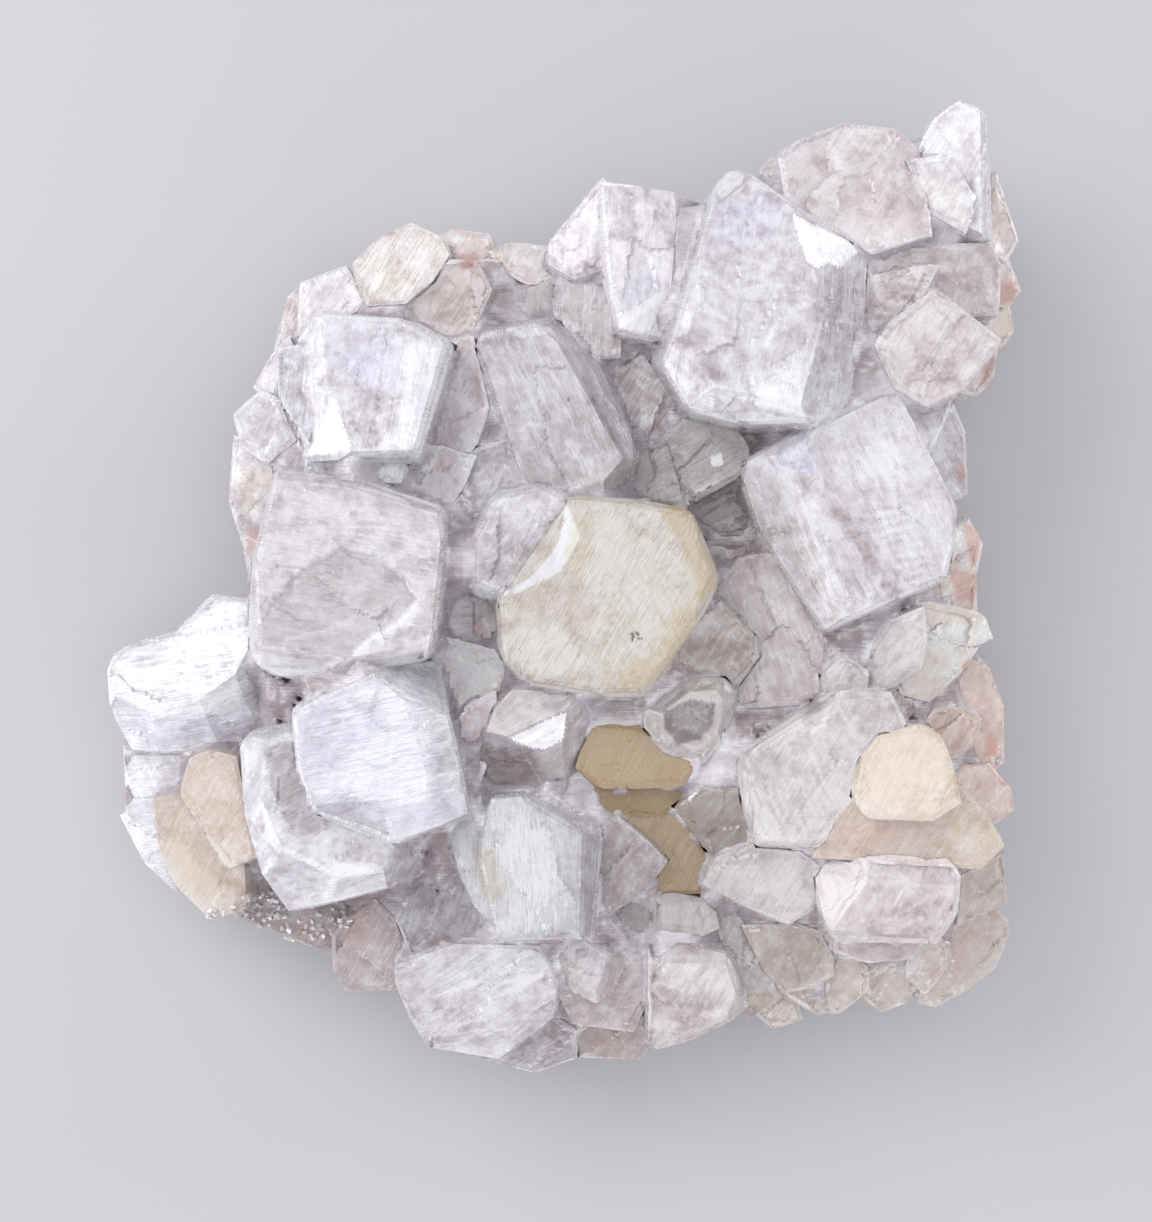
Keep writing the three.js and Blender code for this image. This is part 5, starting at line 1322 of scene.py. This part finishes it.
# Upper faces stay open where they are wide, about level, and not deep below their neighbours
TOP_REACH = 3
LEVEL_TOP = 0.6
LEVEL_STEP = 1.5 * MM
DEEP_PLACE = 9 * MM
# The shell rises from an open face no steeper than this, up to so many steps away
SEAM_SLOPE = 1.3
SLOPE_REACH = 14
# It is left out where less than this would be filled, and near the outline where it would hang down steeply
LEAST_FILL = 0.35 * MM
SEAM_DROP = 2.2 * MM
OUTER_TOP = 14 * MM
OUTER_REACH = 3
# It lies this far below the bridged height, more where it is rough, and is this thick
SEAM_DEPTH = 0.06 * MM
SEAM_ROUGH = 0.14 * MM
SHELL = 1.2 * MM


def spread_out(heights, choose, reach):
    """Each grid value becomes the highest or lowest within reach."""
    result = heights.copy()
    for shift_x in range(-reach, reach + 1):
        for shift_y in range(-reach, reach + 1):
            if math.hypot(shift_x, shift_y) <= reach + 0.3:
                result = choose(result, np.roll(heights, (shift_x, shift_y), (0, 1)))
    return result


def closed_over(heights, reach):
    """The heights with every gap narrower than twice the reach closed."""
    return spread_out(spread_out(heights, np.maximum, reach), np.minimum, reach)


def measured_tops():
    """The grid's lines, and at each crossing the height and whether a crystal's upper face is there."""
    points, faces, upper_face = [], [], []
    for piece in bpy.context.scene.objects:
        if piece.name.endswith("_crystal"):
            corners = read(piece.data.loops, "vertex_index", 1, np.int64).reshape(-1, 3) + len(points)
            faces += corners.tolist()
            points += [tuple(point) for point in read(piece.data.vertices, "co", 3)]
            upward = read(piece.data.polygons, "normal", 3)[:, 2]
            upper_face += ((upward >= LEVEL_TOP) & (piece.name != "matrix_crystal")).tolist()
    tree = BVHTree.FromPolygons(points, faces, all_triangles=True)
    across = np.arange(CAD_BOX[0][0], CAD_BOX[1][0], SEAM_STEP)
    up = np.arange(CAD_BOX[0][1], CAD_BOX[1][1], SEAM_STEP)
    heights = np.zeros((len(across), len(up)))
    tops = np.zeros(heights.shape)
    for row, x in enumerate(across):
        for column, y in enumerate(up):
            hit, _, face, _ = tree.ray_cast(Vector((x, y, ABOVE_ALL)), DOWN)
            heights[row, column] = hit.z if hit else 0
            tops[row, column] = face is not None and upper_face[face]
    return across, up, heights, tops


def seam_heights():
    """Heights of the crystals on a grid, and of the same with every narrow seam bridged."""
    across, up, heights, tops = measured_tops()
    seams = closed_over(heights, SEAM_REACH)
    pits = closed_over(heights, PIT_REACH)
    open_top = spread_out(spread_out(tops, np.minimum, TOP_REACH), np.maximum, TOP_REACH) > 0.5
    open_top &= spread_out(heights, np.maximum, 1) - heights < LEVEL_STEP
    open_top &= pits - heights < DEEP_PLACE
    limit = np.where(open_top, heights, np.inf)
    for _ in range(SLOPE_REACH):
        limit = np.minimum(limit, spread_out(limit, np.minimum, 1) + SEAM_SLOPE * SEAM_STEP)
    deep = (heights < PIT_FLOOR) & ~open_top
    bridged = np.where(deep, np.maximum(seams, pits - PIT_DEPTH), seams)
    bridged = np.minimum(bridged, np.maximum(limit, heights))
    for _ in range(4):
        blurred = sum(np.roll(bridged, (x, y), (0, 1)) for x in (-1, 0, 1) for y in (-1, 0, 1)) / 9
        bridged = np.minimum(bridged, blurred)
    return across, up, np.where(open_top, np.maximum(heights, bridged), heights), bridged


def filled_cells(heights, bridged):
    """The cells of the grid that the shell covers."""
    within = heights > 2 * MM
    needed = (bridged - heights > LEAST_FILL) & within
    wide = needed.copy()
    for shift in ((1, 0), (-1, 0), (0, 1), (0, -1), (1, 1), (-1, -1), (1, -1), (-1, 1)):
        wide |= np.roll(needed, shift, (0, 1)) & within
    wide[[0, -1], :] = False
    wide[:, [0, -1]] = False
    around = np.stack([bridged[:-1, :-1], bridged[1:, :-1], bridged[:-1, 1:], bridged[1:, 1:]])
    outer = spread_out(bridged, np.minimum, OUTER_REACH)[:-1, :-1] < OUTER_TOP
    cells = wide[:-1, :-1] & wide[1:, :-1] & wide[:-1, 1:] & wide[1:, 1:]
    return cells & (~outer | (around.max(axis=0) - around.min(axis=0) < SEAM_DROP))


def seam_growth():
    """A thin closed shell just below the crystals' rims, where a seam would otherwise be a deep gap."""
    across, up, heights, bridged = seam_heights()
    cells = filled_cells(heights, bridged)
    corners = np.zeros(bridged.shape, dtype=bool)
    for row, column in ((0, 0), (1, 0), (0, 1), (1, 1)):
        corners[row:row + cells.shape[0], column:column + cells.shape[1]] |= cells
    ids = np.full(bridged.shape, -1)
    ids[corners] = np.arange(corners.sum())
    xs, ys = np.meshgrid(across, up, indexing="ij")
    top = np.stack([xs[corners], ys[corners], bridged[corners]], axis=1)
    top[:, 2] -= SEAM_DEPTH + SEAM_ROUGH * (1 + cloud(top, 1.5 * MM, 40, 2))
    count = len(top)
    bottom = top - np.array([0, 0, SHELL])
    upper = np.stack([ids[:-1, :-1], ids[1:, :-1], ids[1:, 1:], ids[:-1, 1:]], axis=-1)[cells]
    lower = upper[:, ::-1] + count
    edges = {edge: True for face in upper.tolist() for edge in zip(face, face[1:] + face[:1])}
    walls = [(b, a, a + count, b + count) for a, b in edges if (b, a) not in edges]
    depth = np.tile((bridged - heights)[corners], 2)
    return np.concatenate([top, bottom]), upper.tolist() + lower.tolist() + walls, depth


def fill_seams():
    """Adds the shell, with painted shade: darker and browner where it bridges a deep gap."""
    points, faces, depth = seam_growth()
    mesh = bpy.data.meshes.new("seam_growth")
    mesh.from_pydata(points.tolist(), [], faces)
    mesh.materials.append(FINISHES["grey_crystal"])
    mesh.polygons.foreach_set("use_smooth", np.ones(len(mesh.polygons), dtype=bool))
    mesh.update()
    corner = read(mesh.loops, "vertex_index", 1, np.int64)
    layers = {kind: np.zeros(len(points)) for kind in LAYERS}
    layers["deep"] += soft_step(cloud(points, 4 * MM, 60, 3), -0.3, 0.5) * 0.5
    layers["deep"] += sunk_shade(points)
    # Painted shade: darker and browner where the shell bridges a deep gap
    layers["deep"] += 0.5 * soft_step(depth / MM, 3, 9)
    layers["brown"] += 0.16 * soft_step(depth / MM, 5, 14)
    layers["white"] += soft_step(cloud(points, 1.6 * MM, 61, 3), 0.05, 0.5) * 0.6
    layers["lilac"] += 0.15
    write_looks(mesh, {kind: layer[corner] for kind, layer in layers.items()}, 1.05, points[corner, :2] * 100)
    growth = add_object("seam_growth", mesh)
    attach(growth, "root")


# Crumbs: small blocks that stand on the rim at the lower left, within an oval seen from above

CRUMB_MIDDLE = (-36, -41)
CRUMB_REACH = (9, 3.5)
CRUMBS = {
    "Blocks per Area": 1.3 / MM**2, "Smallest": [0.25 * MM] * 3, "Largest": [0.75 * MM] * 3, "Lean": 0.9,
    "Seed": 5, "Finish": FINISHES["milky_crystal"],
}
# How white, deep and pink the blocks are at most
CRUMB_TINTS = {"white": 1.0, "deep": 0.2, "pink": 0.2}
CRUMB_BEDS = ("matrix_crystal", "lower_left_edge_crystal_crystal", "left_stilbite_sheaf_crystal")


def crumb_nodes():
    """Geometry nodes: blocks stood on a bed, each turned and sized at random."""
    group, tree, given, result = new_group(
        "GeometryNodeTree", "druse", [
            ("Bed", "Geometry"), ("Blocks per Area", "Float"), ("Smallest", "Vector"), ("Largest", "Vector"),
            ("Lean", "Float"), ("Seed", "Int"), ("Finish", "Material"),
        ], [("Blocks", "Geometry")],
    )
    spots = tree.add("GeometryNodeDistributePointsOnFaces", {
        "Mesh": given["Bed"], "Density": given["Blocks per Area"], "Seed": given["Seed"],
    })
    size = tree.add("FunctionNodeRandomValue", {
        0: given["Smallest"], 1: given["Largest"], "Seed": given["Seed"],
    }, data_type="FLOAT_VECTOR").outputs[0]
    leaning = tree.add("ShaderNodeCombineXYZ", {0: given["Lean"], 1: given["Lean"], 2: math.pi}).outputs[0]
    turn = tree.add("FunctionNodeRandomValue", {0: tree.scaled(leaning, -1.0), 1: leaning, "Seed": 9},
                    data_type="FLOAT_VECTOR").outputs[0]
    block = tree.add("GeometryNodeMeshCube", {"Size": (1, 1, 1)}).outputs["Mesh"]
    placed = tree.add("GeometryNodeInstanceOnPoints", {
        "Points": spots.outputs["Points"], "Instance": block, "Rotation": turn, "Scale": size,
    }).outputs[0]
    real = tree.add("GeometryNodeRealizeInstances", {0: placed}).outputs[0]
    done = tree.add("GeometryNodeSetMaterial", {"Geometry": real, "Material": given["Finish"]}).outputs[0]
    tree.link(done, result["Blocks"])
    return group


def crumb_bed():
    """The faces of the finished pieces that the crumbs stand on."""
    points, faces = [], []
    for name in CRUMB_BEDS:
        mesh = bpy.data.objects[name].data
        corner = read(mesh.loops, "vertex_index", 1, np.int64).reshape(-1, 3)
        spots = read(mesh.polygons, "center", 3)[:, :2] / MM - CRUMB_MIDDLE
        upward = read(mesh.polygons, "normal", 3)[:, 2] > 0.2
        wanted = upward & (np.hypot(*(spots / CRUMB_REACH).T) < 1)
        picked = read(mesh.vertices, "co", 3)[corner[wanted]].reshape(-1, 3)
        faces += (np.arange(len(picked)).reshape(-1, 3) + len(points)).tolist()
        points += picked.tolist()
    bed = bpy.data.meshes.new("left_crumbs_bed")
    bed.from_pydata(points, [], faces)
    return bed


def grow_crumbs():
    """Adds the crumbs as one real mesh, each block with its own look."""
    nodes = crumb_nodes()
    holder = add_object("left_crumbs_bed", crumb_bed())
    modifier = holder.modifiers.new("druse", "NODES")
    modifier.node_group = nodes
    for item in nodes.interface.items_tree:
        if item.item_type == "SOCKET" and item.name in CRUMBS:
            modifier[item.identifier] = CRUMBS[item.name]
    graph = bpy.context.evaluated_depsgraph_get()
    mesh = bpy.data.meshes.new_from_object(holder.evaluated_get(graph))
    mesh.name = "left_crumbs"
    bpy.data.objects.remove(holder)
    corner = read(mesh.loops, "vertex_index", 1, np.int64)
    block = corner // 8
    count = block.max() + 1
    chooser = np.random.default_rng(CRUMBS["Seed"])
    layers = {kind: np.zeros(len(corner)) for kind in LAYERS}
    for kind, most in CRUMB_TINTS.items():
        layers[kind] = most * chooser.random(count)[block] ** 2
    places = read(mesh.vertices, "co", 3)
    grain = np.stack([places[corner, 0] + places[corner, 2], places[corner, 1]], axis=1) * 100
    write_looks(mesh, layers, 0.8 + 0.2 * chooser.random(count)[block], grain)
    piece = add_object("left_crumbs", mesh)
    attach(piece, "root")


dress_crystals()
dress_matrix()
fill_seams()
grow_crumbs()
